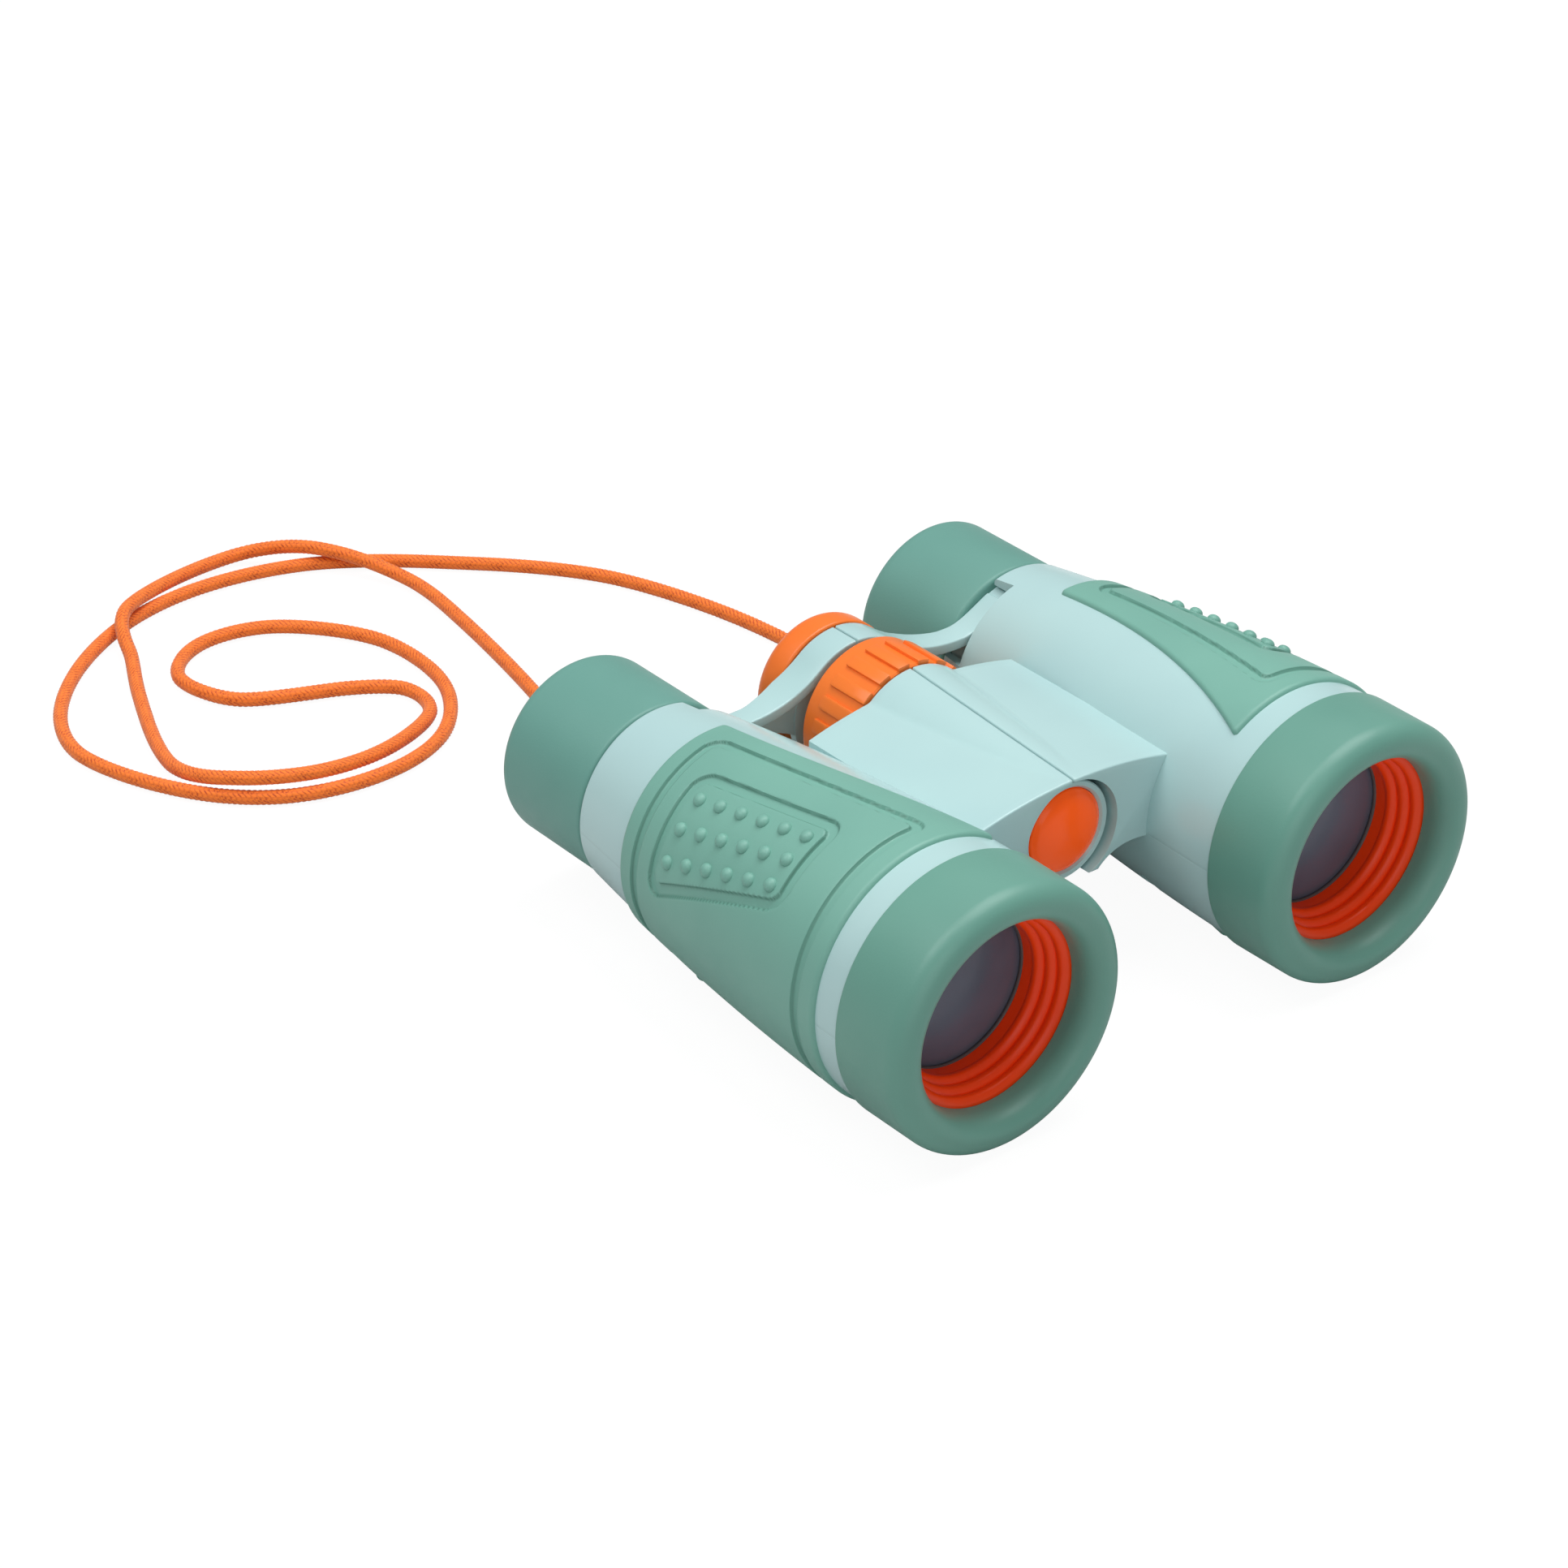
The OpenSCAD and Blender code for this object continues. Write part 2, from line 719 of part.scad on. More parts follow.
// Lens with two rounded faces inside a flat rim that is held at its edge
module lens_form(r, clear_r, edge, bulge, y) {
    face = (clear_r * clear_r + bulge * bulge) / (2 * bulge);
    half = asin(clear_r / face);
    steps = 8;
    angles = [for (k = [0 : steps]) half * k / steps];
    turned(concat(
        [for (w = angles) [face * sin(w), y + bulge - face * (1 - cos(w))]],
        [[r, y], [r, y - edge]],
        [for (k = [steps : -1 : 0]) [face * sin(angles[k]), y - edge - bulge + face * (1 - cos(angles[k]))]]
    ));
}

module objective_lens_form() {
    lens_form(lens_r, lens_bore_r, lens_edge, lens_bulge, lens_y);
}

module ocular_lens_form() {
    lens_form(ocular_r, ocular_r - tube_wall, ocular_edge, ocular_bulge, ocular_y);
}

// Screw with a pan head and a cross recess
module shell_screws() {
    slot_w = screw_head_r / 3;
    slot_l = screw_head_r;
    for (y = [screw_front_y, screw_front_y - screw_pitch]) translate([-screw_in, y, head_z])
        difference() {
            union() {
                cylinder(r = screw_r, h = screw_len, $fn = 32);
                translate([0, 0, -screw_head_t]) cylinder(r = screw_head_r, h = screw_head_t, $fn = 32);
            }
            for (turn = [0, 90]) rotate([0, 0, turn])
                translate([-slot_l / 2, -slot_w / 2, -screw_head_t - cut])
                    cube([slot_l, slot_w, cut + screw_head_t / 2]);
        }
}

// Tube that slides in the barrel and carries the ocular lens
ocular_setback = 1.2;
tube_rear_y = cup_rear_y + cup_hollow;
ocular_y = tube_rear_y + ocular_setback + ocular_edge;
module eyepiece_tube_form() {
    inner = tube_r - tube_wall;
    seat_r = ocular_r + fit_gap;
    stop_r = ocular_r - tube_wall;
    turned([
        [tube_r, tube_front_y], [tube_r, tube_rear_y],
        [seat_r, tube_rear_y], [seat_r, ocular_y],
        [stop_r, ocular_y], [stop_r, ocular_y + tube_wall],
        [inner, ocular_y + 2 * tube_wall], [inner, tube_front_y]
    ]);
}

// Rubber cup with a rounded rim, pushed on the tube
cup_front_round = 0.8;
module eyecup_form() {
    hollow_r = cup_r - cup_wall;
    lip = cup_wall - cup_round;
    turned(concat(
        [[tube_r, cup_front_y], [cup_r - cup_front_round, cup_front_y]],
        [[cup_r, cup_front_y - cup_front_round]],
        round_line([cup_r - cup_round, cup_rear_y + cup_round], cup_round, cup_round, 0, -90),
        round_line([hollow_r + lip, cup_rear_y + lip], lip, lip, -90, -180),
        [[hollow_r, tube_rear_y], [tube_r, tube_rear_y]]
    ));
}

// Flat ring sector between two angles, square to the barrel, from a station towards the eye
module arc_band(c, inner, outer, from, to, y, h) {
    reach = 2 * outer;
    spokes = [for (w = [from, (from + to) / 2, to]) reach * [cos(w), sin(w)]];
    translate([c[0], y, c[1]]) rotate([90, 0, 0]) linear_extrude(height = h) difference() {
        intersection() {
            circle(r = outer);
            polygon(concat([[0, 0]], spokes));
        }
        circle(r = inner);
    }
}

// All points of a line but its first
function rest(line) = [for (i = [1 : len(line) - 1]) line[i]];

// Outline drawn square to the barrel, carried from a station towards the eye
module slice(line, y, h) {
    translate([0, y, 0]) rotate([90, 0, 0]) linear_extrude(height = h) polygon(line);
}

// Space of the other half beside the ridge line of the arms
module ridge_half() {
    block([-cut, arm_front_y + cut, 0], [ridge_gap / 2, arm_dome_rear_y - cut, arm_dome_r + cut]);
}

// Arm from the spindle to the eyepiece tube; hub gives its stretch on the spindle
module rear_arm_form(hub, bore_r) {
    fillet_z = arm_run_z + arm_fillet_r;
    fillet_x = sqrt(pow(arm_dome_r + arm_fillet_r, 2) - pow(fillet_z, 2));
    meet = atan2(fillet_z, fillet_x);
    run_x = hinge_x - sqrt(pow(tube_r, 2) - pow(hinge_rise + arm_run_z, 2)) + sink;
    under_r = arm_dome_r - arm_t;
    bend_r = arm_fillet_r + arm_t;
    dome_top = round_line([0, 0], arm_dome_r, arm_dome_r, 90, meet);
    dome_under = round_line([0, 0], under_r, under_r, meet, 90);
    fillet_top = round_line([fillet_x, fillet_z], arm_fillet_r, arm_fillet_r, meet + 180, 270);
    fillet_under = round_line([fillet_x, fillet_z], bend_r, bend_r, 270, meet + 180);
    run_top = concat(rest(fillet_top), [[run_x, arm_run_z]]);
    run_under = concat([[run_x, arm_run_z - arm_t]], fillet_under);
    web_r = (bore_r + hub_r) / 2;
    web_from = meet + (90 - meet) * web_share;
    hub_len = hub[0] - hub[1];
    difference() {
        union() {
            at_hinge() {
                difference() {
                    union() {
                        slice(concat(dome_top, dome_under), arm_front_y, arm_dome_len);
                        arc_band([0, 0], web_r, arm_dome_r - arm_t / 2, web_from, 90, hub[0], hub_len);
                    }
                    ridge_half();
                }
                difference() {
                    slice(concat(dome_top, run_top, run_under, rest(dome_under)), arm_front_y, arm_len);
                    ridge_half();
                }
                rod(hub_r, hub[0], hub[1]);
            }
            rod(tube_r + collar_wall, arm_front_y, cup_front_y);
        }
        rod(tube_r, arm_front_y + cut, cup_front_y - cut);
        at_hinge() rod(bore_r, arm_front_y + cut, arm_dome_rear_y - cut);
    }
}

// Pin with rounded ends
module pin_form(r, y0, y1, nose) {
    turned([
        [0, y0], [r - nose, y0], [r, y0 - nose],
        [r, y1 + nose], [r - nose, y1], [0, y1]
    ]);
}

// Domed cap with a short straight skirt
module dome_form(r, y0, skirt, dome, way) {
    turned(concat(
        [[0, y0]],
        [[r, y0]],
        round_line([0, y0 + way * skirt], r, way * dome, 0, 90)
    ));
}

// Neck cord: a tube swept along its route, from the left lug back to the right one
route = [
    [-35.2, -24, 2.3], [-35.2, -32, 2], [-35.2, -46, 1.3], [-34.9, -70, 1.3], [-33, -98, 1.3],
    [-24, -127, 1.3], [-6, -148.5, 1.3], [15, -165, 1.3], [38, -170, 1.3], [59, -164.5, 1.3],
    [77, -150, 1.3], [84.5, -132, 1.3], [77, -110.5, 1.3], [64, -98, 1.3], [47, -94.5, 1.3],
    [32, -99.5, 1.3], [22, -114, 1.3], [22, -134, 1.3], [34, -149.5, 1.3], [48, -152, 1.3],
    [57, -144, 1.3], [53, -131, 1.3], [38, -123.5, 1.3], [28.6, -116.5, 1.3], [30.2, -106.2, 1.5],
    [45, -98.5, 3], [60, -98, 4.3], [72, -105.5, 4.3], [75, -118, 2.2], [68.5, -137, 1.3],
    [60, -155, 2], [53, -167, 4.3], [27, -176.3, 1.6], [15, -166, 4.3], [6, -151, 2],
    [6, -132, 1.3], [14, -92, 1.3], [28, -53, 1.3], [35, -33, 1.9], [35.2, -24, 2.3]
];
cord_sides = 8;

// The route with one more point in the middle of each span
function route_at(i) = route[max(0, min(len(route) - 1, i))];
function smooth_route() = [
    for (i = [0 : len(route) - 1], h = [0, 1])
        if (h == 0) route[i]
        else if (i < len(route) - 1)
            (9 * (route_at(i) + route_at(i + 1)) - route_at(i - 1) - route_at(i + 2)) / 16
];

module cord_tube(line, r) {
    n = len(line);
    ways = [for (i = [0 : n - 1]) let (d = line[min(n - 1, i + 1)] - line[max(0, i - 1)]) d / norm(d)];
    rings = [
        for (i = [0 : n - 1])
            let (across = [ways[i][1], -ways[i][0], 0])
            let (side = across / norm(across), up = cross(side, ways[i]))
            for (k = [0 : cord_sides - 1])
                let (w = 360 * (k + 0.5) / cord_sides) line[i] + r * (cos(w) * side + sin(w) * up)
    ];
    polyhedron(
        rings,
        concat(
            [[for (k = [cord_sides - 1 : -1 : 0]) k]],
            [
                for (i = [0 : n - 2], k = [0 : cord_sides - 1], half = [0, 1])
                    let (a = i * cord_sides + k, b = i * cord_sides + (k + 1) % cord_sides)
                    half == 0 ? [a, b, b + cord_sides] : [a, b + cord_sides, a + cord_sides]
            ],
            [[for (k = [0 : cord_sides - 1]) (n - 1) * cord_sides + k]]
        )
    );
}

// Stopper knot in front of a lug: a ball on the cord with a waist, flat towards the lug
module knot_form() {
    waist = 0.35;
    knot_y = lug_front_y + fit_gap + 2 * waist;
    translate([lug_x, 0, cord_hole_z]) difference() {
        union() {
            translate([0, knot_y + knot_r - waist, 0]) sphere(r = knot_r, $fn = 48);
            rod(knot_r - waist, lug_front_y + 2 * waist, knot_y + knot_r);
        }
        rod(knot_r + cut, lug_front_y + 2 * waist, lug_front_y - cut);
    }
}

right_stretches = [[front_knuckle_y, room_front_y], [rear_knuckle_y, bridge_rear_y]];
left_stretches = [[mid_knuckle_y, mid_knuckle_y - mid_knuckle_len]];
// Room round the other half's knuckles, open towards the ends of the bridge
right_rooms = [[room_front_y, room_rear_y]];
left_rooms = [[bridge_front_y + cut, mid_knuckle_y], [mid_knuckle_y - mid_knuckle_len, bridge_rear_y - cut]];

// The right upper shell holds the hinge pin, the front cap and the wheel's journal
module right_upper_shell() {
    color(mint) on_right() difference() {
        upper_shell_form(right_stretches, right_rooms);
        at_hinge() {
            rod(pin_r, front_knuckle_y + cut, pin_rear_y);
            rod(cap_r + fit_gap, bridge_front_y + cut, pin_front_y);
            rod(journal_r + run_gap, bridge_rear_y - cut, journal_y + move_gap);
            rod(clip_out_r + move_gap, clip_y + move_gap, clip_y - clip_t - move_gap);
        }
    }
}

// The left upper shell turns on the hinge pin
module left_upper_shell() {
    color(mint) on_left() difference() {
        upper_shell_form(left_stretches, left_rooms);
        at_hinge() rod(pin_r + run_gap, mid_knuckle_y + cut, mid_knuckle_y - mid_knuckle_len - cut);
    }
}

module right_lower_shell() { color(mint) on_right() lower_shell_form(); }
module left_lower_shell() { color(mint) on_left() lower_shell_form(); }
module right_grip() { color(sage) on_right() grip_form(); }
module left_grip() { color(sage) on_left() grip_form(); }
module right_objective_ring() { color(sage) on_right() objective_ring_form(); }
module left_objective_ring() { color(sage) on_left() objective_ring_form(); }
module right_lens_ring() { color(lens_orange) on_right() lens_ring_form(); }
module left_lens_ring() { color(lens_orange) on_left() lens_ring_form(); }
module right_lens_gasket() { color(gasket_grey) on_right() lens_gasket_form(); }
module left_lens_gasket() { color(gasket_grey) on_left() lens_gasket_form(); }
module right_objective_lens() { color(lens_grey) on_right() objective_lens_form(); }
module left_objective_lens() { color(lens_grey) on_left() objective_lens_form(); }
module right_shell_screws() { color(steel) on_right() shell_screws(); }
module left_shell_screws() { color(steel) on_left() shell_screws(); }
module right_eyepiece_tube() { color(mint) on_right() eyepiece_tube_form(); }
module left_eyepiece_tube() { color(mint) on_left() eyepiece_tube_form(); }
module right_ocular_lens() { color(lens_grey) on_right() ocular_lens_form(); }
module left_ocular_lens() { color(lens_grey) on_left() ocular_lens_form(); }
module right_eyecup() { color(cup_green) on_right() eyecup_form(); }
module left_eyecup() { color(cup_green) on_left() eyecup_form(); }

// The right arm is fixed to the spindle and the left one turns on it
module right_rear_arm() {
    color(mint) on_right() rear_arm_form([arm_front_y, arm_front_y - right_hub_len], spindle_r);
}

module left_rear_arm() {
    color(mint) on_left() rear_arm_form([left_hub_y, arm_dome_rear_y], spindle_r + run_gap);
}

module hinge_pin() { color(steel) on_right() at_hinge() pin_form(pin_r, pin_front_y, pin_rear_y, pin_nose); }

module front_cap() {
    color(orange) on_right() at_hinge() dome_form(cap_r, pin_front_y, cap_seat - cap_dome / 2, cap_dome, 1);
}

// Wheel with flat ribs that stop short of its plain rear rim, and its journal
rib_width_share = 0.55;
wheel_edge = 0.5;
module focus_wheel() {
    rib_w = 360 / wheel_ribs * rib_width_share;
    groove_r = clip_in_r;
    color(orange) on_right() at_hinge() difference() {
        union() {
            turned([
                [0, wheel_front_y], [wheel_r, wheel_front_y],
                [wheel_r, wheel_rear_y + wheel_edge], [wheel_r - wheel_edge, wheel_rear_y], [0, wheel_rear_y]
            ]);
            rod(journal_r, journal_y, wheel_front_y - sink);
            for (i = [0 : wheel_ribs - 1])
                rotate([0, i * 360 / wheel_ribs, 0]) translate([0, wheel_front_y, 0]) rotate([90, 0, 0])
                    rotate([0, 0, -rib_w / 2]) linear_extrude(height = wheel_len - rim_len) difference() {
                        intersection() {
                            circle(r = wheel_r + rib_h);
                            polygon([
                                [0, 0], [2 * wheel_r, 0], [2 * wheel_r * cos(rib_w), 2 * wheel_r * sin(rib_w)]
                            ]);
                        }
                        circle(r = wheel_r - sink);
                    }
        }
        rod(spindle_r + run_gap, journal_y + cut, wheel_rear_y - cut);
        difference() {
            rod(journal_r + cut, clip_y, clip_y - clip_t);
            rod(groove_r, clip_y + cut, clip_y - clip_t - cut);
        }
    }
}

module wheel_clip() {
    color(steel) on_right() at_hinge() difference() {
        rod(clip_out_r, clip_y, clip_y - clip_t);
        rod(clip_in_r, clip_y + cut, clip_y - clip_t - cut);
    }
}

module focus_spindle() {
    color(steel) on_right() at_hinge() pin_form(spindle_r, spindle_front_y, spindle_rear_y, pin_nose);
}

// Rear cap on the end of the spindle
rear_skirt_share = 0.5;
module rear_cap() {
    skirt = rear_cap_len * rear_skirt_share;
    color(orange) on_right() at_hinge() difference() {
        dome_form(rear_cap_r, rear_cap_y, skirt, rear_cap_len - skirt, -1);
        rod(spindle_r, rear_cap_y + cut, spindle_rear_y);
    }
}

module neck_cord() { color(orange) cord_tube(smooth_route(), cord_d / 2); }
module right_cord_knot() { color(orange) knot_form(); }
module left_cord_knot() { color(orange) mirror([1, 0, 0]) knot_form(); }

right_upper_shell();
right_lower_shell();
right_grip();
right_objective_ring();
right_lens_ring();
right_lens_gasket();
right_objective_lens();
right_shell_screws();
right_eyepiece_tube();
right_ocular_lens();
right_eyecup();
right_rear_arm();
left_upper_shell();
left_lower_shell();
left_grip();
left_objective_ring();
left_lens_ring();
left_lens_gasket();
left_objective_lens();
left_shell_screws();
left_eyepiece_tube();
left_ocular_lens();
left_eyecup();
left_rear_arm();
hinge_pin();
front_cap();
focus_wheel();
wheel_clip();
focus_spindle();
rear_cap();
neck_cord();
right_cord_knot();
left_cord_knot();
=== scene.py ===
# %% [markdown]
# # Toy binoculars with a neck cord
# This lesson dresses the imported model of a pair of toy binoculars.
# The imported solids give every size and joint, and each visible piece is modelled again here
# with smooth surfaces and its own finish.

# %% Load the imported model
import math
import bmesh
import bpy
from mathutils import Matrix, Vector


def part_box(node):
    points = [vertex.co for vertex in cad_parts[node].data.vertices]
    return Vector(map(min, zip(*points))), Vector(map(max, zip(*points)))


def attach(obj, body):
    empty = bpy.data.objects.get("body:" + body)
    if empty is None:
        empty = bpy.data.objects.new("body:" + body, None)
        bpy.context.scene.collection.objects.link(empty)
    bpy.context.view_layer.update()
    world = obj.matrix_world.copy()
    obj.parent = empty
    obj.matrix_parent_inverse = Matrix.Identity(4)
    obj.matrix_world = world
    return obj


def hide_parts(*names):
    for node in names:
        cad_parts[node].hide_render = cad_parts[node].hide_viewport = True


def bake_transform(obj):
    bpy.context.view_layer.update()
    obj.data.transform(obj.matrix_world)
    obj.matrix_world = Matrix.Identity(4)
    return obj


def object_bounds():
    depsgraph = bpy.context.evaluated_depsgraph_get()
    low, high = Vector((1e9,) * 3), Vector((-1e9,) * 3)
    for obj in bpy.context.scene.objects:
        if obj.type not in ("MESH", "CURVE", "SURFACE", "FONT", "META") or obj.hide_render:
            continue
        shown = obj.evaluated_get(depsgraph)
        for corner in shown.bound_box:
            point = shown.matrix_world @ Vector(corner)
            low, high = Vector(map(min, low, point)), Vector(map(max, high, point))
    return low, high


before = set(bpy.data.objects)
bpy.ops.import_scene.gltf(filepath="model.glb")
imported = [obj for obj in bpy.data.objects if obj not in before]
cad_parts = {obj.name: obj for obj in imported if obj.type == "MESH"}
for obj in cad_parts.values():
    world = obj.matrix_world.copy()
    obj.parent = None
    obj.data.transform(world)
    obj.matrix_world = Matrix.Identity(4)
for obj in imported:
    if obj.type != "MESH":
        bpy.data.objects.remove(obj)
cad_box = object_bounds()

print("nodes in the frame:", len(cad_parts))

# %% [markdown]
# ## Camera
# The photograph was taken from the front right of the binoculars with a long lens.
# A camera can be aimed with a constraint, but a matrix made from the turn and the height
# of the view is exact and leaves nothing live in the scene.

# %% Camera at the photograph's viewing angle
view_turn, view_height = math.radians(141.2), math.radians(30.6)
camera_place = (0.41866, 0.47438, 0.39881)
view_back = Vector((
    math.cos(view_height) * math.sin(view_turn),
    -math.cos(view_height) * math.cos(view_turn),
    math.sin(view_height),
))
view_right = Vector((0, 0, 1)).cross(view_back).normalized()
view_up = view_back.cross(view_right)
camera_data = bpy.data.cameras.new("photo_camera")
camera_data.lens, camera_data.sensor_width = 106.7, 36.0
camera_data.clip_start = 0.01
camera = bpy.data.objects.new("photo_camera", camera_data)
camera.matrix_world = (
    Matrix.Translation(camera_place)
    @ Matrix((view_right, view_up, view_back)).transposed().to_4x4()
)
bpy.context.scene.collection.objects.link(camera)
bpy.context.scene.camera = camera
print("camera looks along", tuple(round(-value, 3) for value in view_back))

# %% [markdown]
# ## Finishes that share an effect
# Moulded plastic and rubber are never one flat colour: the tone drifts a little, the skin has
# a fine grain from the mould, and the gloss changes from place to place. This could be painted
# on each piece, but a node group holds the effect once, and each material places it with its own
# values. Light passes through the thin orange plastic of the button and the funnels. Full
# subsurface scattering would be slow and noisy for that, so these two get a little emission.

# %% Node group for moulded skins
def add_sockets(group, ways):
    for way, names in ways.items():
        for name, kind in names:
            group.interface.new_socket(name=name, in_out=way, socket_type="NodeSocket" + kind)


def moulded_skin_group():
    group = bpy.data.node_groups.new("moulded_skin", "ShaderNodeTree")
    add_sockets(group, {
        "INPUT": [
            ("Colour", "Color"), ("Drift Colour", "Color"), ("Drift Size", "Float"),
            ("Grain Size", "Float"), ("Rough Low", "Float"), ("Rough High", "Float"),
        ],
        "OUTPUT": [("Colour", "Color"), ("Roughness", "Float"), ("Height", "Float")],
    })
    nodes, links = group.nodes, group.links
    given, result = nodes.new("NodeGroupInput"), nodes.new("NodeGroupOutput")
    place = nodes.new("ShaderNodeTexCoord")
    drift, grain, gloss = (nodes.new("ShaderNodeTexNoise") for _ in range(3))
    drift.inputs["Detail"].default_value = 1.5
    grain.inputs["Detail"].default_value = 3.0
    gloss.inputs["Scale"].default_value = 210.0
    for noise in (drift, grain, gloss):
        links.new(place.outputs["Object"], noise.inputs["Vector"])
    links.new(given.outputs["Drift Size"], drift.inputs["Scale"])
    links.new(given.outputs["Grain Size"], grain.inputs["Scale"])
    ramp = nodes.new("ShaderNodeMapRange")
    ramp.inputs["From Min"].default_value, ramp.inputs["From Max"].default_value = 0.35, 0.65
    links.new(drift.outputs["Fac"], ramp.inputs["Value"])
    mix = nodes.new("ShaderNodeMix")
    mix.data_type = "RGBA"
    links.new(ramp.outputs["Result"], mix.inputs["Factor"])
    links.new(given.outputs["Colour"], mix.inputs["A"])
    links.new(given.outputs["Drift Colour"], mix.inputs["B"])
    rough = nodes.new("ShaderNodeMapRange")
    rough.inputs["From Min"].default_value, rough.inputs["From Max"].default_value = 0.3, 0.7
    links.new(gloss.outputs["Fac"], rough.inputs["Value"])
    links.new(given.outputs["Rough Low"], rough.inputs["To Min"])
    links.new(given.outputs["Rough High"], rough.inputs["To Max"])
    links.new(mix.outputs["Result"], result.inputs["Colour"])
    links.new(rough.outputs["Result"], result.inputs["Roughness"])
    links.new(grain.outputs["Fac"], result.inputs["Height"])
    return group


moulded_skin = moulded_skin_group()
print("group", moulded_skin.name, "with", len(moulded_skin.nodes), "nodes")


# %% Colours and the finishes made from the group
def linear(red, green, blue):
    """Colour of a material from the 0 to 255 values that a picture shows"""
    parts = (value / 255 for value in (red, green, blue))
    return tuple(p / 12.92 if p <= 0.04045 else ((p + 0.055) / 1.055) ** 2.4 for p in parts) + (1.0,)


def new_material(name):
    material = bpy.data.materials.new(name)
    material.use_nodes = True
    return material, material.node_tree.nodes, material.node_tree.links


drift_size, grain_depth = 42.0, 0.0002


def moulded(name, colour, drift, rough, grain, bump, sockets=None):
    """Moulded finish; sockets holds the shader's other values"""
    material, nodes, links = new_material(name)
    shader = nodes["Principled BSDF"]
    skin = nodes.new("ShaderNodeGroup")
    skin.node_tree = moulded_skin
    skin.inputs["Colour"].default_value = linear(*colour)
    skin.inputs["Drift Colour"].default_value = linear(*drift)
    skin.inputs["Drift Size"].default_value = drift_size
    skin.inputs["Grain Size"].default_value = grain
    skin.inputs["Rough Low"].default_value, skin.inputs["Rough High"].default_value = rough
    relief = nodes.new("ShaderNodeBump")
    relief.inputs["Strength"].default_value = bump
    relief.inputs["Distance"].default_value = grain_depth
    links.new(skin.outputs["Height"], relief.inputs["Height"])
    links.new(skin.outputs["Colour"], shader.inputs["Base Color"])
    links.new(skin.outputs["Roughness"], shader.inputs["Roughness"])
    links.new(relief.outputs["Normal"], shader.inputs["Normal"])
    for socket, value in (sockets or {}).items():
        shader.inputs[socket].default_value = value
    return material


mint_plastic = moulded("mint_plastic", (180, 213, 213), (176, 209, 210), (0.2, 0.26), 700, 0.0)
sage_ring = moulded("sage_ring", (105, 159, 144), (100, 153, 139), (0.38, 0.46), 2600, 0.08)
sage_grip = moulded("sage_grip", (120, 175, 160), (115, 169, 155), (0.42, 0.5), 2800, 0.1)
sage_cup = moulded("sage_cup", (106, 160, 149), (101, 154, 143), (0.42, 0.5), 2800, 0.1)
orange_plastic = moulded("orange_plastic", (250, 126, 46), (247, 119, 41), (0.3, 0.36), 1200, 0.0)
button_plastic = moulded("button_plastic", (254, 92, 12), (250, 87, 10), (0.2, 0.24), 700, 0.0, {
    "Specular IOR Level": 0.35, "Emission Color": linear(255, 84, 14), "Emission Strength": 0.22,
})
funnel_plastic = moulded("funnel_plastic", (252, 70, 8), (246, 63, 6), (0.3, 0.35), 900, 0.0, {
    "Specular IOR Level": 0.3, "Emission Color": linear(255, 60, 8), "Emission Strength": 0.03,
})
gasket_rubber = moulded("gasket_rubber", (96, 90, 90), (86, 82, 83), (0.45, 0.6), 2600, 0.15)
print("finishes that place the group:", moulded_skin.users)

# %% [markdown]
# ## Helpers for pieces
# All sizes below are millimetres, as on a drawing, and a piece is scaled to metres when it is done.
# A piece is drawn for the right barrel and mirrored for the left one. A Mirror modifier could do that,
# but each side rides on its own body, so each is an object of its own.

# %% Make an object from a bmesh
barrel_x, barrel_z = 37.15, 22.3
hinge_z = 27.2
sides = (("right", 1), ("left", -1))


def to_mesh(bm, name, crease=35):
    bmesh.ops.scale(bm, vec=(0.001, 0.001, 0.001), verts=bm.verts)
    mesh = bpy.data.meshes.new(name)
    bm.to_mesh(mesh)
    bm.free()
    mesh.shade_smooth()
    mesh.set_sharp_from_angle(angle=math.radians(crease))
    return mesh


def make_piece(name, bm, finish, body, nodes, crease=35):
    piece = bpy.data.objects.new(name, to_mesh(bm, name, crease))
    bpy.context.scene.collection.objects.link(piece)
    piece.data.materials.append(finish)
    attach(piece, body)
    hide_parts(*nodes)
    print(name, len(piece.data.polygons), "faces on", body)
    return piece


def on_side(bm, side):
    if side < 0:
        bmesh.ops.scale(bm, vec=(-1, 1, 1), verts=bm.verts)
        bmesh.ops.reverse_faces(bm, faces=bm.faces)
    return bm


def make_pair(name, draw, finish, body, node, crease=35):
    """The same piece on both sides; draw(side) gives it in the right one's place"""
    for hand, side in sides:
        make_piece(f"{hand}_{name}", on_side(draw(side), side), finish, f"{hand}_{body}",
                   [f"{hand}_{node}"], crease)


print("barrels", 2 * barrel_x, "mm apart, hinge", round(hinge_z - barrel_z, 1), "mm above their middle")


# %% Turn a profile about an axis
def turned(profile, x=barrel_x, z=barrel_z, steps=128, closed=True):
    """Solid of revolution from points (radius, station along the barrel)"""
    bm = bmesh.new()
    verts = [bm.verts.new((r, y, 0)) for r, y in profile]
    pairs = list(zip(verts, verts[1:]))
    if closed:
        pairs.append((verts[-1], verts[0]))
    edges = [bm.edges.new(pair) for pair in pairs]
    bmesh.ops.spin(
        bm, geom=verts + edges, cent=(0, 0, 0), axis=(0, 1, 0),
        angle=2 * math.pi, steps=steps, use_merge=True,
    )
    bmesh.ops.remove_doubles(bm, verts=bm.verts, dist=0.0005)
    bmesh.ops.dissolve_degenerate(bm, edges=bm.edges, dist=0.0005)
    bmesh.ops.recalc_face_normals(bm, faces=bm.faces)
    bmesh.ops.translate(bm, vec=(x, 0, z), verts=bm.verts)
    return bm


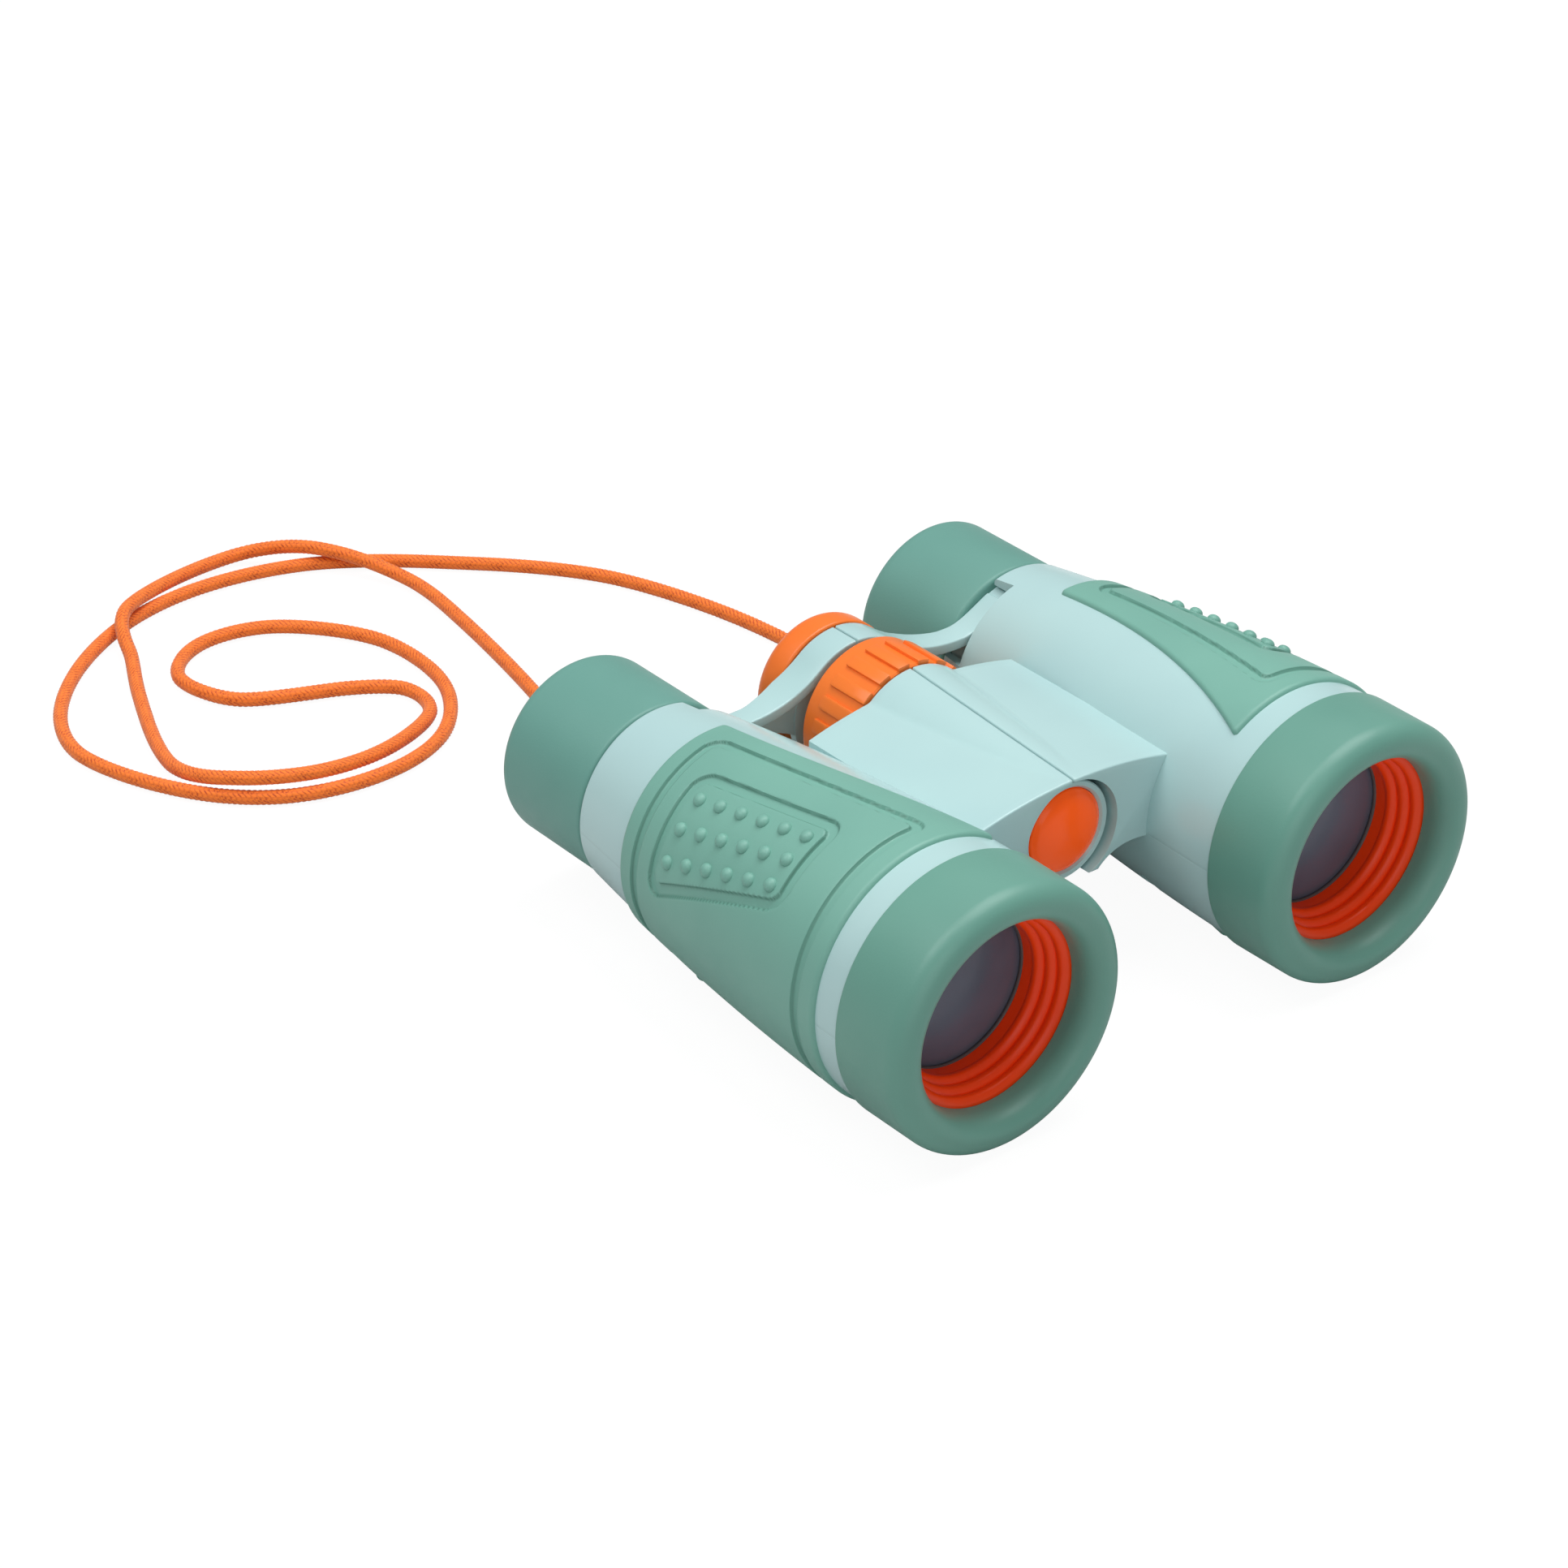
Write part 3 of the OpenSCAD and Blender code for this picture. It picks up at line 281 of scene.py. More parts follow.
def round_line(centre, a, b, start, end, steps=10):
    """Points of an arc of an ellipse, with angles in degrees"""
    angles = (math.radians(start + (end - start) * i / steps) for i in range(steps + 1))
    return [(centre[0] + a * math.cos(w), centre[1] + b * math.sin(w)) for w in angles]


def joined(*parts):
    """One bmesh that holds several closed shapes"""
    whole = parts[0]
    for part in parts[1:]:
        spare = bpy.data.meshes.new("spare")
        part.to_mesh(spare)
        part.free()
        whole.from_mesh(spare)
        bpy.data.meshes.remove(spare)
    return whole


print("a quarter circle has", len(round_line((0, 0), 1, 1, 0, 90)), "points")

# %% [markdown]
# ## Neck cord
# A round braided cord of 2.5 mm runs from one strap lug to the other and lies in loose loops on
# the table. Sixteen or more strands could be swept one by one, but that is heavy.
# Here one fine tube follows the route, and each point moves in or out by the over and under
# of a two over two braid, so the herringbone of the real cord is in the mesh itself.

# %% Route of the cord
cord_route = [
    (-35.2, -24, 2.3), (-35.2, -32, 2), (-35.2, -46, 1.3), (-34.9, -70, 1.3), (-33, -98, 1.3),
    (-24, -127, 1.3), (-6, -148.5, 1.3), (15, -165, 1.3), (38, -170, 1.3), (59, -164.5, 1.3),
    (77, -150, 1.3), (84.5, -132, 1.3), (77, -110.5, 1.3), (64, -98, 1.3), (47, -94.5, 1.3),
    (32, -99.5, 1.3), (22, -114, 1.3), (22, -134, 1.3), (34, -149.5, 1.3), (48, -152, 1.3),
    (57, -144, 1.3), (53, -131, 1.3), (38, -123.5, 1.3), (28.6, -116.5, 1.3), (30.2, -106.2, 1.5),
    (45, -98.5, 3), (60, -98, 4.3), (72, -105.5, 4.3), (75, -118, 2.2), (68.5, -137, 1.3),
    (60, -155, 2), (53, -167, 4.3), (27, -176.3, 1.6), (15, -166, 4.3), (6, -151, 2),
    (6, -132, 1.3), (14, -92, 1.3), (28, -53, 1.3), (35, -33, 1.9), (35.2, -24, 2.3),
]


def halved(points):
    """The same line with a point at the middle of each span, on a smooth curve"""
    last = len(points) - 1
    line = []
    for i in range(last):
        before, after = points[max(0, i - 1)], points[min(last, i + 2)]
        line += [points[i], (9 * (points[i] + points[i + 1]) - before - after) / 16]
    return line + [points[last]]


def evenly(points, step):
    """Points at equal steps along a line"""
    spans = [(b - a).length for a, b in zip(points, points[1:])]
    count = round(sum(spans) / step)
    pace, line, i, used = sum(spans) / count, [points[0]], 0, 0.0
    for k in range(1, count):
        while used + spans[i] < k * pace:
            used += spans[i]
            i += 1
        line.append(points[i].lerp(points[i + 1], (k * pace - used) / spans[i]))
    return line + [points[-1]]


cord_line = [Vector(point) for point in cord_route]
for _ in range(4):
    cord_line = halved(cord_line)


# %% Braid
cord_d, braid_relief = 2.6, 0.3
braid_strands, braid_pitch, braid_step = 10, 9.5, 0.3


def braid_height(s, turn):
    """0 in the gaps and 1 on the strands of a two over two braid, at s along and turn around"""
    a = braid_strands * (turn + s / braid_pitch)
    b = braid_strands * (turn - s / braid_pitch)
    i, j = math.floor(a), math.floor(b)
    if (i + j) % 4 < 2:
        across, along = a - i - 0.5, (b + i) % 4 - 1
    else:
        across, along = b - j - 0.5, (a + j) % 4 - 3
    return math.sqrt(max(0.0, 1 - 3.6 * across * across)) * (1 - 0.4 * along * along)


def braided_tube(line, diameter, around=28):
    """Closed tube along a line, made from a grid that is wrapped round it"""
    bm = bmesh.new()
    relief = bm.verts.layers.float.new("relief")
    rows = len(line)
    bmesh.ops.create_grid(bm, x_segments=around, y_segments=rows - 1, size=0.5)
    ways = [(line[min(rows - 1, i + 1)] - line[max(0, i - 1)]).normalized() for i in range(rows)]
    side = Vector((0, 0, 1)).cross(ways[0]).normalized()
    frames, far, s = [], [], 0.0
    for i, way in enumerate(ways):
        side = (side - way * side.dot(way)).normalized()
        frames.append((side.copy(), way.cross(side)))
        s += (line[i] - line[i - 1]).length if i else 0.0
        far.append(s)
    for vert in bm.verts:
        turn, row = vert.co.x + 0.5, round((vert.co.y + 0.5) * (rows - 1))
        height = braid_height(far[row], turn)
        radius = diameter / 2 - braid_relief * (1 - height)
        angle = 2 * math.pi * turn
        across, up = frames[row]
        # the same height later drives the painted shade in the cord's finish
        vert[relief] = height
        vert.co = line[row] + radius * (math.cos(angle) * across + math.sin(angle) * up)
    bmesh.ops.remove_doubles(bm, verts=bm.verts, dist=0.01)
    bmesh.ops.holes_fill(bm, edges=bm.edges, sides=0)
    bmesh.ops.recalc_face_normals(bm, faces=bm.faces)
    return bm


cord_bm = braided_tube(evenly(cord_line, braid_step), cord_d)
print("cord faces", len(cord_bm.faces))


# %% Cord finish
def cord_fibre():
    material, nodes, links = new_material("orange_cord")
    shader = nodes["Principled BSDF"]
    shader.inputs["Sheen Weight"].default_value = 0.25
    shader.inputs["Sheen Roughness"].default_value = 0.5
    # painted shade: where the braid's relief is low, in the gaps between strands, the orange is darker
    # than on the strands
    relief = nodes.new("ShaderNodeAttribute")
    relief.attribute_name = "relief"
    tone = nodes.new("ShaderNodeValToRGB")
    shaded_valley, crest = tone.color_ramp.elements
    shaded_valley.position, shaded_valley.color = 0.3, linear(184, 48, 4)
    crest.position, crest.color = 0.8, linear(255, 128, 28)
    links.new(relief.outputs["Fac"], tone.inputs["Fac"])
    place = nodes.new("ShaderNodeTexCoord")
    fibre = nodes.new("ShaderNodeTexNoise")
    fibre.inputs["Scale"].default_value = 5200.0
    fibre.inputs["Detail"].default_value = 4.0
    links.new(place.outputs["Object"], fibre.inputs["Vector"])
    mottle = nodes.new("ShaderNodeMix")
    mottle.data_type, mottle.blend_type = "RGBA", "OVERLAY"
    mottle.inputs["Factor"].default_value = 0.35
    links.new(tone.outputs["Color"], mottle.inputs["A"])
    links.new(fibre.outputs["Fac"], mottle.inputs["B"])
    links.new(mottle.outputs["Result"], shader.inputs["Base Color"])
    rough = nodes.new("ShaderNodeMapRange")
    rough.inputs["To Min"].default_value, rough.inputs["To Max"].default_value = 0.55, 0.8
    links.new(fibre.outputs["Fac"], rough.inputs["Value"])
    links.new(rough.outputs["Result"], shader.inputs["Roughness"])
    bump = nodes.new("ShaderNodeBump")
    bump.inputs["Strength"].default_value = 0.35
    bump.inputs["Distance"].default_value = 0.0001
    links.new(fibre.outputs["Fac"], bump.inputs["Height"])
    links.new(bump.outputs["Normal"], shader.inputs["Normal"])
    return material


orange_cord = cord_fibre()
neck_cord = bpy.data.objects.new("braided_neck_cord", to_mesh(cord_bm, "braided_neck_cord", 70))
bpy.context.scene.collection.objects.link(neck_cord)
neck_cord.data.materials.append(orange_cord)
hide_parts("neck_cord")
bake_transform(neck_cord)
print("cord laid")

# %% [markdown]
# ## Stopper knots
# The cord's ends pass through the lugs and are knotted in front of them, so that they can't slip out.
# A ball would hold too, but a real knot shows strands that cross, so a short tube follows the
# line of a trefoil knot.

# %% Knots in front of the lugs
knot_reach, knot_swing, knot_depth, knot_tube_d, knot_steps = 1.18, 0.42, 0.59, 1.5, 96


def knot(low, high):
    """Trefoil in the middle of a packed box, whose corners are in metres"""
    middle = (Vector(low) + Vector(high)) / 2 * 1000
    line = []
    for i in range(knot_steps + 1):
        w = 2 * math.pi * i / knot_steps
        ring = knot_reach * (1 + knot_swing * math.cos(3 * w)) / (1 + knot_swing)
        line.append(middle + Vector((
            ring * math.cos(2 * w), knot_depth * math.sin(3 * w), ring * math.sin(2 * w),
        )))
    return braided_tube(line, knot_tube_d, around=14)


for hand, _ in sides:
    node = hand + "_cord_knot"
    make_piece(hand + "_stopper_knot", knot(*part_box(node)), orange_cord,
               hand + "_barrel", [node], 70)

# %% [markdown]
# ## Objective rings
# A soft green ring with a thick rolled lip is pushed over the front of each barrel.
# It could be a bevelled tube, but its section is easiest to see as a profile: a long flat back,
# a full round front and a hollow inside edge, turned once about the barrel.

# %% Rolled rings
ring_profile = (
    round_line((21.95, 39.75), 0.4, 0.45, -90, 0, 5)
    + round_line((19, 50.3), 3.3, 3.3, 0, 90, 16)
    + round_line((19, 49.8), 3, 3.8, 90, 180, 16)
    + [(16, 48.3), (17.3, 48.2), (17.3, 44.8), (19.8, 44.8), (19.8, 39.3)]
)
make_pair("rolled_ring", lambda side: turned(ring_profile), sage_ring, "barrel",
          "objective_ring")

# %% [markdown]
# ## Lens rings, gaskets and lenses
# Inside each objective sits an orange funnel with three rounded ridges, then a dark gasket and a
# dark lens. Ridges could be separate hoops, but one profile with three waves spins them together.

# %% Ridged funnels
funnel_front, funnel_rear = (15.75, 48.15), (13.2, 42.6)
funnel_ridges, ridge_height, ridge_tilt = 3, 0.62, 0.25


def funnel_profile(steps=14):
    line = []
    for i in range(funnel_ridges * steps + 1):
        share = i / (funnel_ridges * steps)
        wave = ridge_height * abs(math.sin(math.pi * funnel_ridges * share)) ** 0.8
        line.append((
            funnel_front[0] + (funnel_rear[0] - funnel_front[0]) * share - wave,
            funnel_front[1] + (funnel_rear[1] - funnel_front[1]) * share + ridge_tilt * wave,
        ))
    return [(17.2, 48.1)] + line + [(13.2, 40.6), (17.2, 40.6)]


gasket_profile = round_line((13.4, 40.2), 0.4, 0.4, 90, 270, 8) + [(17.2, 39.8), (17.2, 40.6)]
make_pair("ridged_funnel", lambda side: turned(funnel_profile()), funnel_plastic,
          "barrel", "lens_ring")
make_pair("dark_gasket", lambda side: turned(gasket_profile), gasket_rubber,
          "barrel", "lens_gasket")


# %% Lens finish
def coated_lens():
    material, nodes, links = new_material("dark_lens")
    shader = nodes["Principled BSDF"]
    shader.inputs["Coat Weight"].default_value = 0.1
    shader.inputs["Coat Roughness"].default_value = 0.1
    shader.inputs["Specular IOR Level"].default_value = 0.2
    place = nodes.new("ShaderNodeTexCoord")
    haze = nodes.new("ShaderNodeTexNoise")
    haze.inputs["Scale"].default_value = 45.0
    links.new(place.outputs["Object"], haze.inputs["Vector"])
    tone = nodes.new("ShaderNodeValToRGB")
    dark, pale = tone.color_ramp.elements
    dark.position, dark.color = 0.35, linear(92, 97, 112)
    pale.position, pale.color = 0.65, linear(106, 112, 128)
    links.new(haze.outputs["Fac"], tone.inputs["Fac"])
    links.new(tone.outputs["Color"], shader.inputs["Base Color"])
    rough = nodes.new("ShaderNodeMapRange")
    rough.inputs["To Min"].default_value, rough.inputs["To Max"].default_value = 0.2, 0.26
    links.new(haze.outputs["Fac"], rough.inputs["Value"])
    links.new(rough.outputs["Result"], shader.inputs["Roughness"])
    return material


dark_lens = coated_lens()
print("finish", dark_lens.name, "with", len(dark_lens.node_tree.nodes), "nodes")


# %% Objective lenses
def lens_profile(radius, clear, edge, bulge, y):
    """Lens with two rounded faces and a flat rim"""
    ball = (clear * clear + bulge * bulge) / (2 * bulge)
    half = math.asin(clear / ball)
    cap = [(ball * math.sin(half * i / 12), ball * (1 - math.cos(half * i / 12))) for i in range(13)]
    front = [(r, y + bulge - drop) for r, drop in cap]
    rear = [(r, y - edge - bulge + drop) for r, drop in reversed(cap)]
    return front + [(radius, y), (radius, y - edge)] + rear


front_lens_profile = lens_profile(16, 13.2, 2.2, 1.6, 39.8)
make_pair("front_lens", lambda side: turned(front_lens_profile, closed=False), dark_lens,
          "barrel", "objective_lens")

# %% [markdown]
# ## Shells
# Each barrel is two plastic halves that meet in a seam a little below the middle.
# Each half could be spun half a turn by itself, but then the seam could only lie at the middle.
# So the wall is turned as one closed profile and cut at the seam with a bisecting plane; the cut
# edges are bevelled, so the seam catches a thin line of light as on the real toy.

# %% Barrel wall
shell_front_y, shell_rear_y, shell_edge_y = 39.3, -31.6, -30.8
shell_front_r, shell_rear_r, shell_belly = 21.9, 16.0, 1.15


def shell_r(y):
    """Outer radius of the barrel, which narrows to the rear with a slight belly"""
    t = (shell_front_y - y) / (shell_front_y - shell_rear_y)
    return shell_front_r + (shell_rear_r - shell_front_r) * t + 4 * shell_belly * t * (1 - t)


def shell_line(start, end, rise, steps=24):
    stations = [start + (end - start) * i / steps for i in range(steps + 1)]
    return [(shell_r(y) + rise, y) for y in stations]


wall_profile = (
    [(19.7, 44.8), (19.7, shell_front_y)]
    + shell_line(shell_front_y, shell_edge_y, 0)
    + round_line((shell_r(shell_edge_y) - 0.75, shell_edge_y), 0.75, 0.8, -10, -90, 5)
    + [(14.9, shell_rear_y), (14.9, -26.8), (13.3, -26.8), (13.3, -16.3)]
    + shell_line(-14.3, 35.6, -2.2)
    + [(14.6, 35.6), (14.6, 37.6), (16.1, 37.6), (16.1, 39.8), (17.3, 39.8), (17.3, 44.8)]
)
seam_z = barrel_z - 0.7


def bevel_edges(bm, edges, width, segments=3):
    bmesh.ops.bevel(bm, geom=edges, offset=width, offset_type="OFFSET", segments=segments,
                    profile=0.5, affect="EDGES", material=-1, clamp_overlap=True)


def half_wall(upper):
    bm = turned(wall_profile, steps=144)
    way = Vector((0, 0, 1 if upper else -1))
    cut = bmesh.ops.bisect_plane(
        bm, geom=bm.verts[:] + bm.edges[:] + bm.faces[:], dist=0.0001,
        plane_co=(0, 0, seam_z), plane_no=way, clear_inner=True,
    )
    rim = [item for item in cut["geom_cut"] if isinstance(item, bmesh.types.BMEdge)]
    bmesh.ops.edgeloop_fill(bm, edges=rim)
    bmesh.ops.recalc_face_normals(bm, faces=bm.faces)
    rim = [edge for edge in bm.edges if all(abs(v.co.z - seam_z) < 0.0005 for v in edge.verts)]
    bevel_edges(bm, rim, 0.16, 2)
    return bm


print("shell radius in the middle:", round(shell_r((shell_front_y + shell_rear_y) / 2), 2))


# %% Boolean helper
def combined(bm, tool, way):
    """The exact Boolean of two closed shapes, as a new bmesh"""
    pair = []
    for name, source in (("carved", bm), ("carver", tool)):
        mesh = bpy.data.meshes.new(name)
        source.to_mesh(mesh)
        source.free()
        pair.append(bpy.data.objects.new(name, mesh))
        bpy.context.scene.collection.objects.link(pair[-1])
    carve = pair[0].modifiers.new("carve", "BOOLEAN")
    carve.object, carve.operation, carve.solver = pair[1], way, "EXACT"
    result = bmesh.new()
    result.from_object(pair[0], bpy.context.evaluated_depsgraph_get())
    for item in pair:
        mesh = item.data
        bpy.data.objects.remove(item)
        bpy.data.meshes.remove(mesh)
    return result


def box_between(low, high, edge=0.0):
    bm = bmesh.new()
    bmesh.ops.create_cube(bm, size=1)
    size = [b - a for a, b in zip(low, high)]
    bmesh.ops.scale(bm, vec=size, verts=bm.verts)
    bmesh.ops.translate(bm, vec=[(a + b) / 2 for a, b in zip(low, high)], verts=bm.verts)
    if edge:
        bevel_edges(bm, bm.edges[:], edge)
    return bm


print("boxes and Booleans ready")

# %% [markdown]
# ## Bridge and hinge
# Half of the bridge is moulded with each upper shell: a crowned slab that rises into a cone over
# the hinge. A box could be bent, but here one cross section is extruded along the barrel in
# steps, and each row of points is lifted to the crown or the cone, whichever is higher.
# Knuckles of the two halves interlock, and each half has round room for the other's knuckle.

# %% Bridge slab
bridge_front_y, bridge_rear_y, bridge_tip_z = 24.6, -14.2, 18.7
ridge_gap, bridge_end_x = 0.15, 21.0
crown_r, crown_top, cone_front_r, cone_growth, crown_blend = 78.0, 9.9, 9.9, 2.9, 0.25
arch_start_x, arch_width, arch_rise, end_rise = 6.0, 15.0, 2.3, 0.9
slab_cells, slab_steps = 40, 26


def bridge_top(x, y):
    """Height of the crown or the cone, whichever is higher, with a soft change between them"""
    share = (bridge_front_y - y) / (bridge_front_y - bridge_rear_y)
    cone_r = cone_front_r + cone_growth * share
    crown = crown_top - crown_r + math.sqrt(crown_r * crown_r - x * x)
    cone = math.sqrt(max(0.0, cone_r * cone_r - x * x))
    near = math.exp(-abs(crown - cone) / crown_blend)
    return hinge_z + max(crown, cone) + crown_blend * (math.log1p(near) - math.log(2) * near)


def bridge_under(x):
    """The underside is arched between the hinge room and the barrel"""
    share = max(0.0, min(1.0, (x - arch_start_x) / arch_width))
    return bridge_tip_z + arch_rise * math.sin(math.pi * share ** 0.75) + end_rise * share


def bridge_slab():
    bm = bmesh.new()
    width = bridge_end_x - ridge_gap
    across = [ridge_gap + width * (i / slab_cells) for i in range(slab_cells + 1)]
    section = [bm.verts.new((x, bridge_front_y, bridge_top(x, bridge_front_y))) for x in across]
    section += [bm.verts.new((x, bridge_front_y, bridge_under(x))) for x in reversed(across)]
    face = bm.faces.new(section)
    for i in range(slab_steps):
        before = face
        out = bmesh.ops.extrude_face_region(bm, geom=[before])["geom"]
        face = next(item for item in out if isinstance(item, bmesh.types.BMFace))
        if i > 0:
            bmesh.ops.delete(bm, geom=[before], context="FACES_ONLY")
        y = bridge_front_y + (bridge_rear_y - bridge_front_y) * (i + 1) / slab_steps
        for vert in face.verts:
            rule = bridge_top(vert.co.x, y) if vert.co.z > hinge_z else bridge_under(vert.co.x)
            vert.co = (vert.co.x, y, rule)
    bmesh.ops.recalc_face_normals(bm, faces=bm.faces)
    ends = (bridge_front_y, bridge_rear_y)
    rim = [
        edge for edge in bm.edges
        if any(all(abs(v.co.y - y) < 0.001 for v in edge.verts) for y in ends)
        or all(abs(v.co.x - ridge_gap) < 0.001 and v.co.z > hinge_z for v in edge.verts)
    ]
    bevel_edges(bm, rim, 0.32)
    return bm


def hinge_rod(r, front, rear, edge=0.2):
    """Solid round rod on the hinge, with small bevels at its ends"""
    return turned([
        (0, front), (r - edge, front), (r, front - edge),
        (r, rear + edge), (r - edge, rear), (0, rear),
    ], x=0, z=hinge_z, steps=96, closed=False)


print("bridge top at the ridge:", round(bridge_top(0, bridge_front_y), 1), "front and",
      round(bridge_top(0, bridge_rear_y), 1), "rear")

# %% Upper shells
knuckle_r, room_r, cap_seat_r = 8.6, 9.4, 7.25
front_joint_y, rear_joint_y, knuckle_gap = 12.8, -3.2, 0.3
front_knuckle = [
    (0, 20.4), (cap_seat_r, 20.4), (cap_seat_r, 22.6), (cap_seat_r + 0.4, 23.1),
    (knuckle_r - 0.2, 23.2), (knuckle_r, 23.0), (knuckle_r, front_joint_y), (0, front_joint_y),
]
button_seat = [
    (0, 26), (9.35, 26), (9.35, 24.7), (knuckle_r, 23.0), (knuckle_r - 1, 20.4), (0, 20.4),
]
arm_slot = (barrel_x - 24, -33, hinge_z), (barrel_x - 4.4, -26.8, barrel_z + 24)


def hinge_turned(profile):
    return turned(profile, x=0, z=hinge_z, steps=96, closed=False)


def upper_shell(side):
    """The right half has the front and rear knuckles, the left half the one between them"""
    slab = bridge_slab()
    if side > 0:
        rooms = [hinge_rod(room_r, front_joint_y, rear_joint_y, 0.01), hinge_turned(button_seat)]
        knuckles = [hinge_turned(front_knuckle), hinge_rod(knuckle_r, rear_joint_y, bridge_rear_y)]
    else:
        middle = front_joint_y - knuckle_gap, rear_joint_y + knuckle_gap
        rooms = [hinge_rod(room_r, 26.0, middle[0], 0.01), hinge_rod(room_r, middle[1], -16.0, 0.01)]
        knuckles = [hinge_rod(knuckle_r, *middle)]
    for room in rooms:
        slab = combined(slab, room, "DIFFERENCE")
    wall = combined(half_wall(True), box_between(*arm_slot), "DIFFERENCE")
    return joined(wall, slab, *knuckles)


make_pair("upper_case", upper_shell, mint_plastic, "barrel", "upper_shell")

# %% [markdown]
# ## Lower shells
# The lower half of each barrel has two screw wells and the strap lug, a small foot with a hole for
# the cord. Wells could be modelled into the wall's grid, but round holes across a round wall are
# much simpler as Booleans. The foot is a bevelled block sunk into the wall.

# %% Lower shells with lugs
well_x, well_stations, well_low_z, well_top_z, well_r = barrel_x - 15, (19.8, -8.2), -2, 14.3, 2.2
lug_x, lug_half, lug_rear_y, lug_front_y, lug_top_z, lug_edge = 35.15, 3.5, -29.0, -24.4, 7.4, 0.5
lug_hole, lug_hole_z = [(0, -20), (1.6, -20), (1.6, -34), (0, -34)], 2.3


def upright_rod(x, y, low, high, r):
    bm = bmesh.new()
    bmesh.ops.create_cone(bm, cap_ends=True, segments=48, radius1=r, radius2=r, depth=high - low)
    bmesh.ops.translate(bm, vec=(x, y, (low + high) / 2), verts=bm.verts)
    return bm


def lower_shell(side):
    wall = half_wall(False)
    for y in well_stations:
        wall = combined(wall, upright_rod(well_x, y, well_low_z, well_top_z, well_r), "DIFFERENCE")
    lug = box_between((lug_x - lug_half, lug_rear_y, 0), (lug_x + lug_half, lug_front_y, lug_top_z),
                      lug_edge)
    hole = turned(lug_hole, x=lug_x, z=lug_hole_z, steps=40, closed=False)
    return joined(wall, combined(lug, hole, "DIFFERENCE"))


make_pair("lower_case", lower_shell, mint_plastic, "barrel", "lower_shell")

# %% [markdown]
# ## Grips
# A soft grip wraps the outside of each barrel, from a curved edge on top to its mirror image
# below. It has a groove inside its border and two panels, each framed by a groove and set with
# three rows of dots. Cutting the grooves with Booleans would leave ragged edges, so a fine grid is
# wrapped on the barrel, and each point is sunk by a smooth rule where a groove runs.

# %% Outlines of the grip, its border groove and its panels
grip_front_y, grip_rear_y = 34.3, -17.9
border_inset, border_corner = 3.6, 3.0
panel_turn, low_panel_turn, panel_y = math.radians(46), math.radians(14), 6.3
panel_half_y, panel_half_w, panel_margin, panel_corner = 11.5, 4.9, 4.1, 3.2
panel_lean, panel_fan = 0.215, 0.09


def bow(rear, front, y_rear, y_front, radius):
    """Offset from the barrel's middle of an edge that bows between two points, seen from above"""
    p, q = Vector((rear, y_rear)), Vector((front, y_front))
    way = (q - p).normalized()
    reach = math.sqrt(radius ** 2 - (q - p).length_squared / 4)
    centre = (p + q) / 2 + reach * Vector((-way.y, way.x))
    return lambda y: centre.x + math.sqrt(radius ** 2 - (y - centre.y) ** 2)


grip_edge = bow(-2.6, -12.8, grip_rear_y, grip_front_y, 146)
border_edge = bow(1.5, -3.3, grip_rear_y + border_inset, grip_front_y - border_inset, 300)


def edge_angle(edge, y):
    return math.asin(edge(y) / shell_r(y))


def round_corner(a, b, radius):
    """Distance inside a corner of two straight edges that is rounded"""
    if a < radius and b < radius:
        return radius - math.hypot(radius - a, radius - b)
    return min(a, b)


def border_inside(y, angle):
    """Distance inside the outline of the border groove"""
    top = (angle - edge_angle(border_edge, y)) * shell_r(y)
    front, rear = grip_front_y - border_inset - y, y - grip_rear_y - border_inset
    return min(round_corner(top, front, border_corner), round_corner(top, rear, border_corner))


def fan_share(u):
    """The panels are a little wider at the rear than at the front"""
    return 1 - panel_fan * u / panel_half_y


def panel_inside(y, angle, turn):
    """Distance inside the outer outline of a dot panel's frame"""
    u = y - panel_y
    v = shell_r(y) * math.sin(angle - turn) + panel_lean * u
    side = (panel_half_w + panel_margin) * fan_share(u) - abs(v)
    end = panel_half_y + panel_margin - abs(u)
    return round_corner(side, end, panel_corner)


print("grip edge from", round(math.degrees(edge_angle(grip_edge, grip_front_y))), "degrees at the front")

# %% Grooves and height of the grip
grip_rise, grip_sink, grip_roll = 0.7, 0.3, 0.9
groove_w, groove_depth = 1.7, 0.62


def step(value, width=0.3):
    """From 0 to 1 where a value crosses zero, over a width and with rounded ends"""
    t = max(0.0, min(1.0, value / width + 0.5))
    return t * t * (3 - 2 * t)


def groove(inside):
    return step(inside) - step(inside - groove_w)


def grip_sunk(y, angle):
    fold = min(angle, math.pi - angle)
    turn = panel_turn if angle < math.pi / 2 else low_panel_turn
    return max(groove(border_inside(y, fold)), groove(panel_inside(y, fold, turn)))


def grip_height(sunk, rim):
    """Height over the barrel, at a distance from the rim that rolls down into it"""
    edge = math.sqrt(1 - (1 - rim / grip_roll) ** 2) if rim < grip_roll else 1.0
    return -grip_sink + (grip_rise + grip_sink) * edge - groove_depth * sunk


print("grip stands", grip_rise, "mm proud, and", round(grip_height(1, grip_roll), 2), "mm in a groove")


